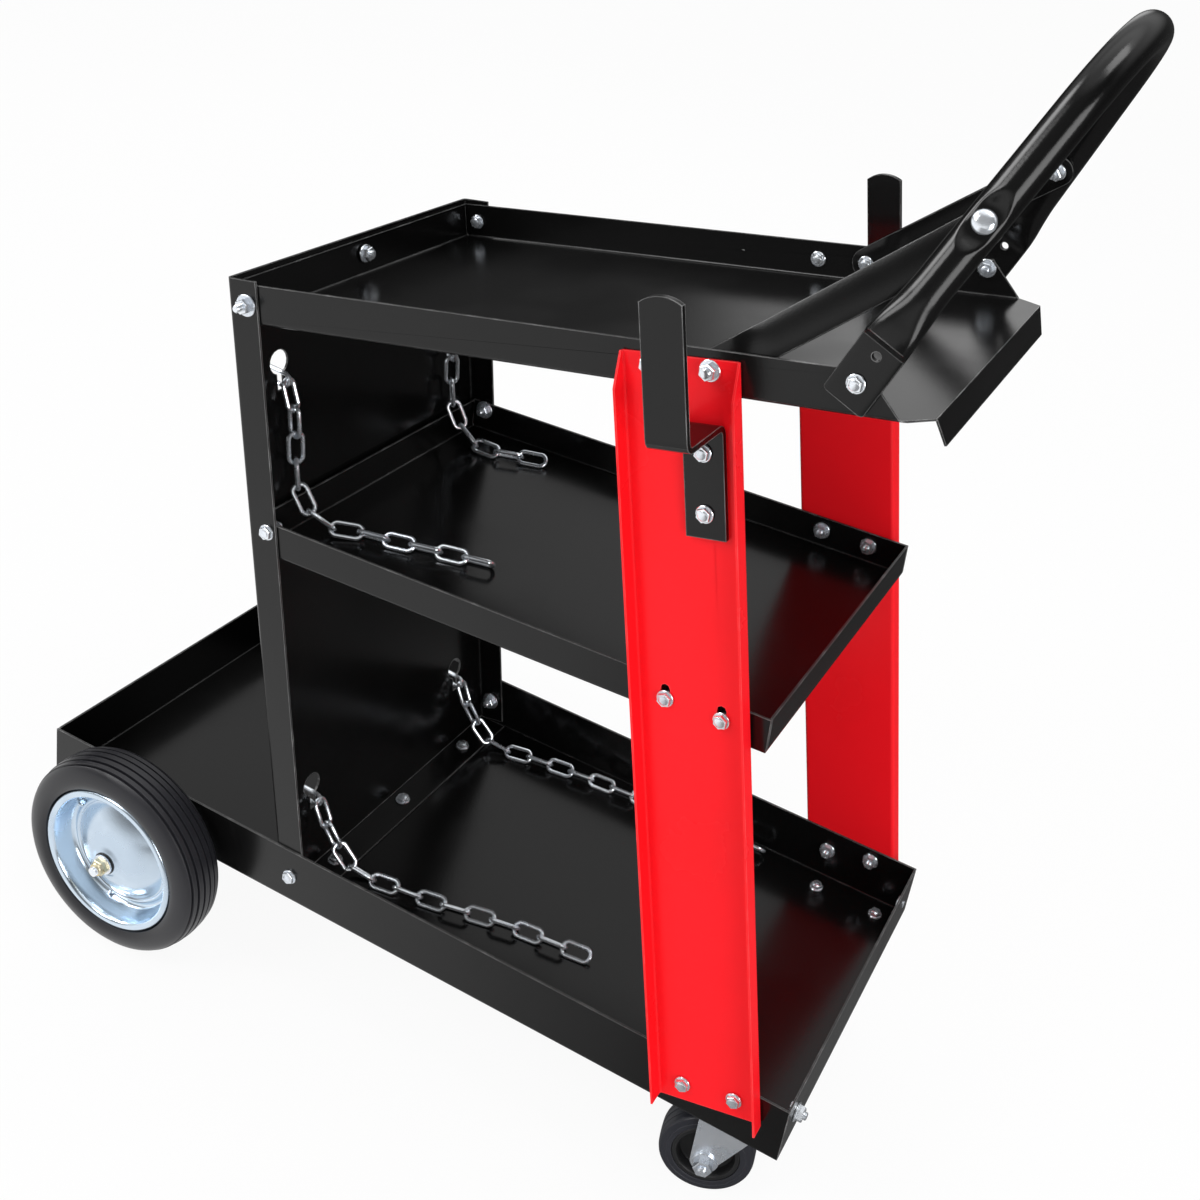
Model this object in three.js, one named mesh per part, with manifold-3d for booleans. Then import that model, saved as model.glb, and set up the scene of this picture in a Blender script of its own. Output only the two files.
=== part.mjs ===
// Welding cart: a level bottom tray on two wheels and two casters, a leaning rear panel with keyholes and
// chains, a middle shelf, a sloping top tray, two uprights with cable hooks, and a tube handle on braces.
// Millimetres. X runs from the wheel end to the handle end, Y across, Z up from the floor.
// Every side piece is made once for the -Y side and mirrored for the +Y side.
import * as THREE from "three";
import { mergeVertices } from "three/addons/utils/BufferGeometryUtils.js";
import Module from "manifold-3d";

const wasm = await Module();
wasm.setup();

// Driving dimensions.
const sheet = 1.5; // sheet steel of the trays, the panel and the uprights
const foldRadius = 3; // outside radius of a fold
const seam = 1; // open seam at a folded corner
const fit = 0.3; // gap between pieces that are turned or cut against each other
const runFit = 0.4; // radial gap of a bore that turns on its pin

const trayLength = 690;
const trayWidth = 290;
const trayLip = 50;

const wheelRadius = 89;
const tyreWidth = 40;
const rimRadius = 65.5;
const axleX = 101; // from the rear face of the tray
const axleDrop = 9; // axle centre under the tray
const axleDiameter = 8;
const hubDiameter = 22;
const wellRadius = 58; // bed of the rim, seen from inside
const ringRadius = 50; // pressed ring round the domed disc
const domeRise = 17; // the disc stands out by this from its ring to its hub
const discSheet = 3;
const wheelGap = 4; // tray side to tyre
const axleNutFlats = 13;
const axleNutHeight = 8;
const axleWasherDiameter = 18;
const axleWasherThickness = 1.6;
const axleTipLength = 3;
const bracketY = 118;
const bracketLength = 46;
const bracketDepth = 26;
const bracketThickness = 2.5;

const panelX = 241; // rear face of the panel at the tray floor
const panelLean = 9.7;
const panelHeight = 520;
const panelFlange = 25;
const panelFootDepth = 28;
const panelGap = 0.8; // clears the fold inside the panel's corners
const keyholeY = 100;
const keyholeUpper = 444; // keyhole centres, measured up along the panel
const keyholeLower = 76;
const keyholeDiameter = 19;
const keyholeSlot = 6;
const keyholeSlotLength = 22;

const shelfRise = 305.6; // underside of the shelf at the panel, over the underside of the tray
const shelfSlope = 2.5;
const shelfSetback = 78; // its front face, back from the front of the bottom tray
const shelfLip = 27.5;

const topRise = 482; // underside of the top tray at the panel, over the underside of the bottom tray
const topSlope = 11.6;
const topLength = 512;
const topLip = 29.5;
const lipSlopeBack = 40; // from the front edge back to where the side lip starts to slope down
const lipFootBack = 19; // and back to where it meets the floor
const topCornerCut = 13;
const apronDepth = 20;
const apronFlare = 12;
const apronTaper = 8;

const uprightSetback = 97.6; // rear bottom corner of the upright, back from the front of the bottom tray
const uprightRise = 9.9;
const uprightLean = 13.2;
const uprightOver = 21.8; // how far the upright stands over the floor line of the top tray
const uprightWidth = 82.6;
const uprightFlange = 14;
const uprightChamfer = 22;
const uprightBoltGap = 41;
const uprightTopBolt = 7; // from the top edge
const uprightFootBolt = 15; // from the bottom edge
const shelfBoltRise = 16; // over the underside of the shelf
const shelfSlotLength = 14;

const barWidth = 28; // flat bar of the cable hooks
const barThickness = 4;
const hookAcross = 57; // bar centre from the rear edge of the upright
const hookDrop = 39.5; // ledge of the hook, down from the top of the upright
const hookReach = 50;
const hookTab = 78;
const hookPlate = 92;
const hookCrown = 4.5; // rise of the arc at the top
const hookBoltDrop = 20;
const hookBoltGap = 41;

const tubeDiameter = 25;
const handleBoltBack = 44.5; // from the front edge of the top tray
const handleBoltRise = 22.5;
const handleLean = 21.9;
const handleTaper = 24.6; // each leg leans in by this
const handleBend = 82; // radius of the bend that joins the legs
const footWidth = 30;
const footThickness = 4;
const footBelow = 16;
const footAbove = 33; // foot bolt to the kink where the leg leans in
const footBlend = 26; // length over which the flat end becomes round
const blendLap = 1; // how far the blend runs into the flat end and into the tube
const spareHole = 21.5;
const braceBoltUp = 86; // up the leg from its kink
const braceWidth = 24;
const braceThickness = 3;
const braceTab = 32; // bolt to the bend of the brace, along the lip
const dimpleLength = 30; // flat pressed into the leg under the bolt head
const dimpleDepth = 4;

const boltDiameter = 6;
const boltHead = 12;
const boltHeadHeight = 3.6;
const nutFlats = 10;
const nutHeight = 5;
const boltTip = 4;
const boltFit = 0.5;

const casterSetback = 50; // swivel axis, back from the front of the bottom tray
const casterY = 105;
const casterTrail = 12;
const casterTurn = 15;
const casterRadius = 37.5;
const casterTyreWidth = 24;
const casterTyreDepth = 11;
const casterPlateLength = 78;
const casterPlateWidth = 62;
const casterPlateThickness = 3;
const casterRace = 46;
const casterRaceHeight = 5;
const forkThickness = 3;
const forkTopLength = 46;
const forkEnd = 11; // radius round the axle
const kingpinDiameter = 10;
const casterAxleDiameter = 8;

const linkLength = 28;
const linkWidth = 14;
const linkWire = 3.8;
const linkLap = 0.8; // how far neighbouring links press into each other

// Sizes that follow.
const trayHeight = wheelRadius + axleDrop;
const trayHalf = trayWidth / 2;
const panelHalf = trayHalf - sheet - fit;
const upperHalf = panelHalf - sheet - fit;
const legY = upperHalf + fit + footThickness / 2;
const braceOuter = upperHalf - sheet - fit;
const wheelY = trayHalf + wheelGap + tyreWidth / 2;
const shelfFront = trayLength - shelfSetback;
const uprightX = trayLength - uprightSetback;
const casterX = trayLength - casterSetback;
const topLipEnd = topLength - lipSlopeBack;
const topLipFoot = topLength - lipFootBack;
const handleBoltAlong = topLength - handleBoltBack;
const tan = (a) => Math.tan(THREE.MathUtils.degToRad(a));
const sin = (a) => Math.sin(THREE.MathUtils.degToRad(a));
const cos = (a) => Math.cos(THREE.MathUtils.degToRad(a));

// Solids: three.js makes the shapes, manifold joins and cuts them.
function solid(geometry) {
  const source = geometry.index ? geometry.toNonIndexed() : geometry;
  const plain = new THREE.BufferGeometry().setAttribute("position", source.getAttribute("position"));
  const merged = mergeVertices(plain, 1e-4);
  return new wasm.Manifold(
    new wasm.Mesh({
      numProp: 3,
      vertProperties: merged.attributes.position.array,
      triVerts: new Uint32Array(merged.index.array),
    }),
  );
}
const move = (s, x, y, z) => s.translate([x, y, z]);
const place = (s, matrix) => s.transform(matrix.elements);
const join = (list) => wasm.Manifold.union(list);
const mirror = (s) => s.mirror([0, 1, 0]);

function box(x0, x1, y0, y1, z0, z1) {
  const g = new THREE.BoxGeometry(x1 - x0, y1 - y0, z1 - z0);
  return move(solid(g), (x0 + x1) / 2, (y0 + y1) / 2, (z0 + z1) / 2);
}

// A rod along Y from y0 to y1.
function rod(radius, y0, y1, sides, x = 0, z = 0) {
  const g = new THREE.CylinderGeometry(radius, radius, Math.abs(y1 - y0), sides);
  return move(solid(g), x, (y0 + y1) / 2, z);
}

// A rod along Z from z0 to z1.
function post(radius, z0, z1, sides, x = 0, y = 0) {
  const g = new THREE.CylinderGeometry(radius, radius, z1 - z0, sides).rotateX(Math.PI / 2);
  return move(solid(g), x, y, (z0 + z1) / 2);
}

const extrude = (shape, depth, arcs = 4) =>
  new THREE.ExtrudeGeometry(shape, { depth, bevelEnabled: false, curveSegments: arcs });

// An outline in X and Z given a width along Y, starting at y0.
const acrossY = (shape, y0, width, arcs) =>
  move(solid(extrude(shape, width, arcs).rotateX(Math.PI / 2)), 0, y0 + width, 0);

// An outline in Y and Z given a length along X, starting at x0.
const alongX = (shape, x0, length) =>
  move(solid(extrude(shape, length, 2).rotateZ(Math.PI / 2).rotateY(Math.PI / 2)), x0, 0, 0);

const polygon = (points) => new THREE.Shape(points.map(([a, b]) => new THREE.Vector2(a, b)));

// A lathe round Y. A facet, not a corner, faces the floor, and its middle stands at the given radius.
function turned(profile, sides) {
  const grow = 1 / Math.cos(Math.PI / sides);
  const points = profile.map(([r, y]) => new THREE.Vector2(r * grow, y));
  points.push(points[0].clone());
  return solid(new THREE.LatheGeometry(points, sides).rotateY(Math.PI / sides));
}

// A rectangle whose two lower corners are rounded, as a folded pan is seen from its end.
function panEnd(a0, a1, b0, b1, radius, roundStart, roundEnd) {
  const s = new THREE.Shape();
  s.moveTo(a0, b1);
  if (roundStart) {
    s.lineTo(a0, b0 + radius);
    s.absarc(a0 + radius, b0 + radius, radius, Math.PI, 1.5 * Math.PI, false);
  } else {
    s.lineTo(a0, b0);
  }
  if (roundEnd) {
    s.lineTo(a1 - radius, b0);
    s.absarc(a1 - radius, b0 + radius, radius, 1.5 * Math.PI, 2 * Math.PI, false);
  } else {
    s.lineTo(a1, b0);
  }
  s.lineTo(a1, b1);
  return s;
}

// A folded pan from x = 0 to its length, lips up, with open seams at the corners.
// A pan without a front lip is left open there.
function pan(length, half, lip, frontLip) {
  const inner = foldRadius - sheet;
  const reach = frontLip ? length - sheet : length + 1;
  const side = panEnd(0, length, 0, lip, foldRadius, true, frontLip);
  const end = panEnd(-half, half, 0, lip, foldRadius, true, true);
  const outside = acrossY(side, -half, 2 * half, 2).intersect(alongX(end, 0, length));
  const sideIn = panEnd(sheet, reach, sheet, lip + 1, inner, true, frontLip);
  const endIn = panEnd(sheet - half, half - sheet, sheet, lip + 1, inner, true, true);
  const clear = half - sheet;
  const inside = acrossY(sideIn, -clear, 2 * clear, 2).intersect(alongX(endIn, 0, length + 1));
  const seams = [];
  for (const edge of [-clear, clear]) {
    const y0 = Math.min(edge, edge - Math.sign(edge) * seam);
    seams.push(box(-1, foldRadius, y0, y0 + seam, foldRadius, lip + 1));
    if (frontLip) {
      seams.push(box(length - foldRadius, length + 1, y0, y0 + seam, foldRadius, lip + 1));
    }
  }
  return outside.subtract(inside).subtract(join(seams));
}

// A channel seen along its length: web on y = 0 from x = 0 to width, flanges reaching to -depth.
function channel(width, depth, radius) {
  const inner = radius - sheet;
  const s = new THREE.Shape();
  s.moveTo(0, -depth);
  s.lineTo(sheet, -depth);
  s.lineTo(sheet, -radius);
  s.absarc(radius, -radius, inner, Math.PI, Math.PI / 2, true);
  s.lineTo(width - radius, -sheet);
  s.absarc(width - radius, -radius, inner, Math.PI / 2, 0, true);
  s.lineTo(width - sheet, -depth);
  s.lineTo(width, -depth);
  s.lineTo(width, -radius);
  s.absarc(width - radius, -radius, radius, 0, Math.PI / 2, false);
  s.lineTo(radius, 0);
  s.absarc(radius, -radius, radius, Math.PI / 2, Math.PI, false);
  s.lineTo(0, -depth);
  return s;
}

// A bar of even thickness bent along a line of points, with rounded bends on its middle line.
function bentBar(points, thickness, radius) {
  const line = [];
  points.forEach(([a, b], i) => {
    const p = new THREE.Vector2(a, b);
    if (i === 0 || i === points.length - 1) {
      line.push(p);
      return;
    }
    const before = new THREE.Vector2(...points[i - 1]).sub(p).setLength(radius).add(p);
    const after = new THREE.Vector2(...points[i + 1]).sub(p).setLength(radius).add(p);
    line.push(...new THREE.QuadraticBezierCurve(before, p, after).getPoints(4));
  });
  const left = [];
  const right = [];
  line.forEach((p, i) => {
    const a = line[Math.max(i - 1, 0)];
    const b = line[Math.min(i + 1, line.length - 1)];
    const side = new THREE.Vector2(a.y - b.y, b.x - a.x).setLength(thickness / 2);
    left.push(p.clone().add(side));
    right.unshift(p.clone().sub(side));
  });
  return new THREE.Shape([...left, ...right]);
}

// A bolt along Y: round head against yHead on the -Y side, nut against yNut on the +Y side.
function bolt(x, z, yHead, yNut) {
  const nut = nutFlats / 2 / Math.cos(Math.PI / 6);
  return join([
    rod(boltHead / 2, yHead - boltHeadHeight, yHead, 10, x, z),
    rod(boltDiameter / 2, yHead - 1, yNut + nutHeight + boltTip, 6, x, z),
    rod(nut, yNut, yNut + nutHeight, 6, x, z),
  ]);
}
const boltHole = (x, z, y0, y1) => rod(boltDiameter / 2 + boltFit, y0, y1, 8, x, z);

// Frames of the turned pieces.
const turn = (x, y, z, angleY, angleX = 0) =>
  new THREE.Matrix4()
    .makeTranslation(x, y, z)
    .multiply(new THREE.Matrix4().makeRotationX(THREE.MathUtils.degToRad(angleX)))
    .multiply(new THREE.Matrix4().makeRotationY(THREE.MathUtils.degToRad(angleY)));
const at = (matrix, x, y, z) => new THREE.Vector3(x, y, z).applyMatrix4(matrix);

const panelFrame = turn(panelX, 0, trayHeight + sheet + fit, -panelLean);
const panelFace = (rise) =>
  panelX + (sheet + panelGap) / cos(panelLean) - (rise - sheet - fit) * tan(panelLean);
const shelfFrame = turn(panelFace(shelfRise), 0, trayHeight + shelfRise, -shelfSlope);
const shelfLength = (shelfFront - panelFace(shelfRise)) / cos(shelfSlope);
// The top tray's rear lip leans more than the panel, so its upper edge is what meets the panel.
const topLipLift = topLip * cos(topSlope);
const topX = panelFace(topRise + topLipLift) + topLip * sin(topSlope);
const topFrame = turn(topX, 0, trayHeight + topRise, -topSlope);

// The uprights stand on the wide bottom tray and lean in to meet the narrower top tray. Their length up to
// the top tray's floor line comes from where the two leaning lines cross.
const uprightReach =
  (topRise - uprightRise + (uprightX - topX) * tan(topSlope)) /
  (cos(uprightLean) + sin(uprightLean) * tan(topSlope));
const uprightLength = uprightReach + uprightOver;
const meetRise = uprightRise + uprightReach * cos(uprightLean);
const hookLedge = uprightLength - hookDrop;
const uprightTilt = THREE.MathUtils.radToDeg(Math.atan((trayHalf - upperHalf) / (meetRise - trayLip)));
const uprightY = trayHalf + fit + (trayLip - uprightRise) * tan(uprightTilt);
const uprightFrame = turn(uprightX, -uprightY, trayHeight + uprightRise, -uprightLean, -uprightTilt);

const handleBolt = at(topFrame, handleBoltAlong, 0, handleBoltRise);
const handleFrame = turn(handleBolt.x, 0, handleBolt.z, handleLean);

// Sheet pieces.
let bottomTray = move(pan(trayLength, trayHalf, trayLip, true), 0, 0, trayHeight);
let middleShelf = place(pan(shelfLength, upperHalf, shelfLip, true), shelfFrame);

const slopeRun = (topLipFoot - topLipEnd) / (topLip - sheet);
const lipSlope = polygon([
  [topLipFoot, sheet],
  [topLength + 5, sheet],
  [topLength + 5, topLip + 5],
  [topLipEnd - 5 * slopeRun, topLip + 5],
]);
const topPan = pan(topLength, upperHalf, topLip, false).subtract(
  acrossY(lipSlope, -upperHalf - 1, 2 * upperHalf + 2),
);
const cornerPoints = [
  [topLipFoot, upperHalf],
  [topLength, upperHalf - topCornerCut],
  [topLength + 5, upperHalf - topCornerCut],
  [topLength + 5, upperHalf + 5],
  [topLipFoot, upperHalf + 5],
];
const cornerCut = move(solid(extrude(polygon(cornerPoints), topLip)), 0, 0, -1);
const apronHalf = upperHalf - topCornerCut;
const apronOutline = polygon([
  [apronHalf, 0],
  [-apronHalf, 0],
  [apronTaper - apronHalf, -apronDepth],
  [apronHalf - apronTaper, -apronDepth],
]);
const apron = place(
  alongX(apronOutline, -sheet, sheet),
  turn(topLength, 0, sheet, -apronFlare),
);
let topTray = place(
  topPan.subtract(cornerCut).subtract(mirror(cornerCut)).add(apron),
  topFrame,
);

// Rear panel: side flanges forward, keyholes, and a level foot on the tray floor.
const panelOutline = channel(2 * panelHalf, panelFlange, foldRadius);
const panelSheet = solid(extrude(panelOutline, panelHeight, 2).rotateZ(Math.PI / 2));
const keyhole = (y, z) =>
  join([
    solid(new THREE.CylinderGeometry(keyholeDiameter / 2, keyholeDiameter / 2, 9, 16).rotateZ(Math.PI / 2)),
    box(-4, 4, -keyholeSlot / 2, keyholeSlot / 2, -keyholeSlotLength, 0),
  ]).translate([sheet / 2, y, z]);
const keyholes = [];
for (const y of [-keyholeY, keyholeY]) {
  keyholes.push(keyhole(y, keyholeUpper), keyhole(y, keyholeLower));
}
const footHalf = panelHalf - sheet - seam;
const panelFoot = box(panelX, panelX + panelFootDepth, -footHalf, footHalf, 0, sheet);
const rearPanel = place(move(panelSheet, 0, -panelHalf, 0).subtract(join(keyholes)), panelFrame).add(
  move(panelFoot, 0, 0, trayHeight + sheet + fit),
);

// Uprights: channels with their flanges out, chamfered at the top, slotted for the shelf.
const uprightMiddle = uprightWidth / 2;
const boltColumns = [uprightMiddle - uprightBoltGap / 2, uprightMiddle + uprightBoltGap / 2];
const topRow = uprightLength - uprightTopBolt;
const intoUpright = uprightFrame.clone().invert();
// Where a line over the shelf, parallel to it, crosses a bolt column of the upright.
function shelfCrossing(column) {
  const a = at(intoUpright, ...at(shelfFrame, 0, -upperHalf, shelfBoltRise).toArray());
  const b = at(intoUpright, ...at(shelfFrame, shelfLength, -upperHalf, shelfBoltRise).toArray());
  return a.z + ((b.z - a.z) * (column - a.x)) / (b.x - a.x);
}
const shelfBolts = boltColumns.map((x) => [x, shelfCrossing(x)]);

const flangeCut = alongX(
  polygon([
    [-uprightFlange - 1, uprightLength - uprightChamfer],
    [-uprightFlange, uprightLength - uprightChamfer],
    [-foldRadius, uprightLength + fit],
    [-uprightFlange - 1, uprightLength + fit],
  ]),
  -1,
  uprightWidth + 2,
);
const uprightCuts = [flangeCut];
for (const x of boltColumns) {
  uprightCuts.push(boltHole(x, topRow, -sheet - 2, 2), boltHole(x, uprightFootBolt, -sheet - 2, 2));
}
for (const [x, z] of shelfBolts) {
  const half = boltDiameter / 2 + boltFit;
  const rise = shelfSlotLength - 2 * half;
  uprightCuts.push(boltHole(x, z, -sheet - 2, 2), boltHole(x, z + rise, -sheet - 2, 2));
  uprightCuts.push(box(x - half, x + half, -sheet - 2, 2, z, z + rise));
}
const hookBolts = [hookLedge - hookBoltDrop, hookLedge - hookBoltDrop - hookBoltGap];
for (const z of hookBolts) {
  uprightCuts.push(boltHole(hookAcross, z, -sheet - 2, 2));
}
const uprightSheet = solid(extrude(channel(uprightWidth, uprightFlange, foldRadius), uprightLength, 2));
const upright = place(uprightSheet.subtract(join(uprightCuts)), uprightFrame);

// Cable hooks: one bent flat bar, tab on the web, ledge out, plate up to a shallow arc.
const barMiddle = barThickness / 2;
const tabY = -sheet - fit - barMiddle;
const plateY = -hookReach - barMiddle;
const hookSide = bentBar(
  [
    [tabY, hookLedge - hookTab],
    [tabY, hookLedge - barMiddle],
    [plateY, hookLedge - barMiddle],
    [plateY, hookLedge + hookPlate],
  ],
  barThickness,
  barThickness + 2,
);
const halfBar = barWidth / 2;
const crownRadius = (halfBar * halfBar + hookCrown * hookCrown) / (2 * hookCrown);
const crownAngle = Math.asin(halfBar / crownRadius);
const hookFront = new THREE.Shape();
hookFront.moveTo(-halfBar, hookLedge - hookTab);
hookFront.lineTo(halfBar, hookLedge - hookTab);
hookFront.lineTo(halfBar, hookLedge + hookPlate - hookCrown);
hookFront.absarc(
  0,
  hookLedge + hookPlate - crownRadius,
  crownRadius,
  Math.PI / 2 - crownAngle,
  Math.PI / 2 + crownAngle,
  false,
);
hookFront.lineTo(-halfBar, hookLedge - hookTab);
const hookBar = alongX(hookSide, -halfBar, barWidth).intersect(
  acrossY(hookFront, -hookReach - 2 * barThickness, hookReach + 2 * barThickness, 8),
);
const hookHoles = hookBolts.map((z) => boltHole(0, z, tabY - barThickness, tabY + barThickness));
const cableHook = place(move(hookBar.subtract(join(hookHoles)), hookAcross, 0, 0), uprightFrame);

// Handle: one tube, its legs leaning in to a round bend, its two ends pressed flat outside the top tray.
const bendUp = footAbove + (legY * cos(handleTaper) - handleBend) / sin(handleTaper);
const legLength = (bendUp + handleBend * sin(handleTaper) - footAbove) / cos(handleTaper);
class HandleLine extends THREE.Curve {
  getPoint(t, target = new THREE.Vector3()) {
    const leg = legLength - footBlend;
    const quarter = THREE.MathUtils.degToRad(90 - handleTaper);
    const total = 2 * leg + 2 * handleBend * quarter;
    const side = t > 0.5 ? 1 : -1;
    const s = t > 0.5 ? total * (1 - t) : total * t;
    if (s < leg) {
      const up = s + footBlend;
      return target.set(0, side * (legY - up * sin(handleTaper)), footAbove + up * cos(handleTaper));
    }
    const turned = quarter - (s - leg) / handleBend;
    return target.set(0, side * handleBend * Math.sin(turned), bendUp + handleBend * Math.cos(turned));
  }
}
const tubeRadius = tubeDiameter / 2;
const tubeSides = 12;
const ring = polygon(
  Array.from({ length: tubeSides }, (_, i) => {
    const a = ((i + 0.5) * 2 * Math.PI) / tubeSides;
    return [tubeRadius * Math.cos(a), tubeRadius * Math.sin(a)];
  }),
);
const tubeOptions = { steps: 36, extrudePath: new HandleLine(), bevelEnabled: false };
const tube = solid(new THREE.ExtrudeGeometry(ring, tubeOptions));

// The blend from the flat end to the round tube, and the flat end itself with its bolt hole and spare hole.
const blendGeometry = new THREE.CylinderGeometry(tubeRadius, tubeRadius, footBlend + 2 * blendLap, tubeSides, 4);
blendGeometry.rotateX(Math.PI / 2).translate(0, 0, footBlend / 2);
const blendPoints = blendGeometry.getAttribute("position");
for (let i = 0; i < blendPoints.count; i++) {
  const t = THREE.MathUtils.smoothstep(blendPoints.getZ(i), 0, footBlend);
  const wide = THREE.MathUtils.lerp(footWidth / tubeDiameter, 1, t);
  const thick = THREE.MathUtils.lerp(footThickness / tubeDiameter, 1, t);
  blendPoints.setX(i, blendPoints.getX(i) * wide);
  blendPoints.setY(i, blendPoints.getY(i) * thick);
}
const footHole = (z) => boltHole(0, z, -legY - footThickness, footThickness - legY);
const footPlate = box(
  -footWidth / 2,
  footWidth / 2,
  -legY - footThickness / 2,
  footThickness / 2 - legY,
  -footBelow,
  footAbove,
).subtract(join([footHole(0), footHole(spareHole)]));
const kink = new THREE.Matrix4()
  .makeTranslation(0, -legY, footAbove)
  .multiply(new THREE.Matrix4().makeRotationX(THREE.MathUtils.degToRad(-handleTaper)));
const blend = place(solid(blendGeometry), kink);

// The leg is pressed to a flat under the head of the brace bolt.
const dimpleY = dimpleDepth - tubeRadius;
const pressed = box(
  -tubeRadius,
  tubeRadius,
  dimpleY - tubeDiameter,
  dimpleY,
  braceBoltUp - dimpleLength / 2,
  braceBoltUp + dimpleLength / 2,
);
const legHole = boltHole(0, braceBoltUp, -tubeDiameter, tubeDiameter);
const legCuts = place(pressed.add(legHole), kink);
const foot = footPlate.add(blend);
const bareHandle = place(
  join([tube, foot, mirror(foot)]).subtract(legCuts).subtract(mirror(legCuts)),
  handleFrame,
);
const legFrame = handleFrame.clone().multiply(kink);

// Braces: flat bar with round ends, from the upright's front bolt inside the lip to the inside of the leg.
// A tab lies flat on the lip, and the bar leaves it to lie flat on the inner side of the leaning leg.
function roundedBar(length, extra = 0) {
  const end = braceWidth / 2 + extra;
  const s = new THREE.Shape();
  s.moveTo(0, -end);
  s.lineTo(length, -end);
  s.absarc(length, 0, end, -Math.PI / 2, Math.PI / 2, false);
  s.lineTo(0, end);
  s.absarc(0, 0, end, Math.PI / 2, 1.5 * Math.PI, false);
  return acrossY(s, -braceThickness / 2 - extra, braceThickness + 2 * extra, 6);
}
const boltLow = at(uprightFrame, boltColumns[1], 0, topRow);
const braceLow = new THREE.Vector3(boltLow.x, braceThickness / 2 - braceOuter, boltLow.z);
const braceOff = tubeRadius + fit + braceThickness / 2;
const braceHigh = at(legFrame, 0, braceOff, braceBoltUp);
const braceAngle = Math.atan2(braceHigh.z - braceLow.z, braceHigh.x - braceLow.x);
const tabFrame = turn(braceLow.x, braceLow.y, braceLow.z, THREE.MathUtils.radToDeg(-braceAngle));
const braceBend = at(tabFrame, braceTab, 0, 0);
const barAlong = braceHigh.clone().sub(braceBend);
const barLength = barAlong.length();
barAlong.normalize();
const barOut = new THREE.Vector3(0, 1, 0).transformDirection(legFrame);
barOut.addScaledVector(barAlong, -barOut.dot(barAlong)).normalize();
const barUp = new THREE.Vector3().crossVectors(barAlong, barOut);
const barFrame = new THREE.Matrix4().makeBasis(barAlong, barOut, barUp).setPosition(braceBend);
const legBolt = place(boltHole(0, braceBoltUp, 0, 2 * tubeDiameter), legFrame);
const lipSide = box(0, trayLength, -2 * legY, -braceOuter, 0, 2 * topRise);
const bar = place(roundedBar(barLength), barFrame).subtract(lipSide);
const braceSeat = place(roundedBar(barLength, fit), barFrame);
const handle = bareHandle.subtract(braceSeat).subtract(mirror(braceSeat));
const brace = place(roundedBar(braceTab), tabFrame)
  .add(bar)
  .subtract(boltHole(boltLow.x, boltLow.z, -legY, tubeDiameter - legY))
  .subtract(legBolt);

// Bolts of the -Y side. Those of the uprights and hooks stand square to the upright.
const lipBack = sheet + 2 * fit;
const boltsNear = {};
const uprightBolt = (x, z, head, nut) => place(bolt(x, z, head, nut), uprightFrame);
boltsNear.upright_top_bolt = uprightBolt(boltColumns[0], topRow, -sheet - fit, lipBack + fit);
const braceBack = lipBack + fit + braceThickness;
boltsNear.upright_brace_bolt = uprightBolt(boltColumns[1], topRow, -sheet - fit, braceBack + fit);
shelfBolts.forEach(([x, z], i) => {
  const p = at(uprightFrame, x, 0, z);
  const back = -upperHalf + sheet - p.y;
  boltsNear["upright_shelf_bolt_" + (i + 1)] = uprightBolt(x, z, -sheet - fit, back + fit);
});
boltColumns.forEach((x, i) => {
  const p = at(uprightFrame, x, 0, uprightFootBolt);
  const back = -trayHalf + sheet - p.y;
  boltsNear["upright_foot_bolt_" + (i + 1)] = uprightBolt(x, uprightFootBolt, -sheet - fit, back + fit);
});
const hookOuter = tabY - barMiddle;
hookBolts.forEach((z, i) => {
  boltsNear["hook_bolt_" + (i + 1)] = uprightBolt(hookAcross, z, hookOuter - fit, fit);
});
boltsNear.handle_bolt = bolt(handleBolt.x, handleBolt.z, -legY - footThickness / 2 - fit, -braceOuter);
const braceInner = braceOff + braceThickness / 2;
boltsNear.brace_bolt = place(bolt(0, braceBoltUp, dimpleY - fit, braceInner + 2 * fit), legFrame);

// Bolt holes through the lips.
const through = (x, z, half) => boltHole(x, z, -half - 2, -half + sheet + 2);
const topHoles = [through(handleBolt.x, handleBolt.z, upperHalf)];
for (const x of boltColumns) {
  const p = at(uprightFrame, x, 0, topRow);
  topHoles.push(through(p.x, p.z, upperHalf));
}
const shelfHoles = shelfBolts.map(([x, z]) => {
  const p = at(uprightFrame, x, 0, z);
  return through(p.x, p.z, upperHalf);
});
const trayHoles = boltColumns.map((x) => {
  const p = at(uprightFrame, x, 0, uprightFootBolt);
  return through(p.x, p.z, trayHalf);
});
const drill = (s, holes) => s.subtract(join(holes)).subtract(mirror(join(holes)));
topTray = drill(topTray, topHoles);
middleShelf = drill(middleShelf, shelfHoles);
bottomTray = drill(bottomTray, trayHoles);

// Rear axle, its brackets, and the wheels.
const axleRadius = axleDiameter / 2;
const hubEnd = wheelY + tyreWidth / 2 + 1;
const hubStart = wheelY - tyreWidth / 2 - 1;
const washerStart = hubEnd + fit;
const nutStart = washerStart + axleWasherThickness + fit;
const nutEnd = nutStart + axleNutHeight;
const axleEnd = nutEnd + axleTipLength;
const collarRadius = axleDrop - 1;
const rearAxle = join([
  rod(axleRadius, -axleEnd, axleEnd, 16, axleX, wheelRadius),
  rod(collarRadius, hubStart - fit - 3, hubStart - fit, 16, axleX, wheelRadius),
  rod(collarRadius, -hubStart + fit, -hubStart + fit + 3, 16, axleX, wheelRadius),
]);
const bracketTop = trayHeight - bracketThickness;
const axleBore = rod(axleRadius + fit, -bracketY - 20, -bracketY + 20, 16, axleX, wheelRadius);
const halfBracket = bracketLength / 2;
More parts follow.
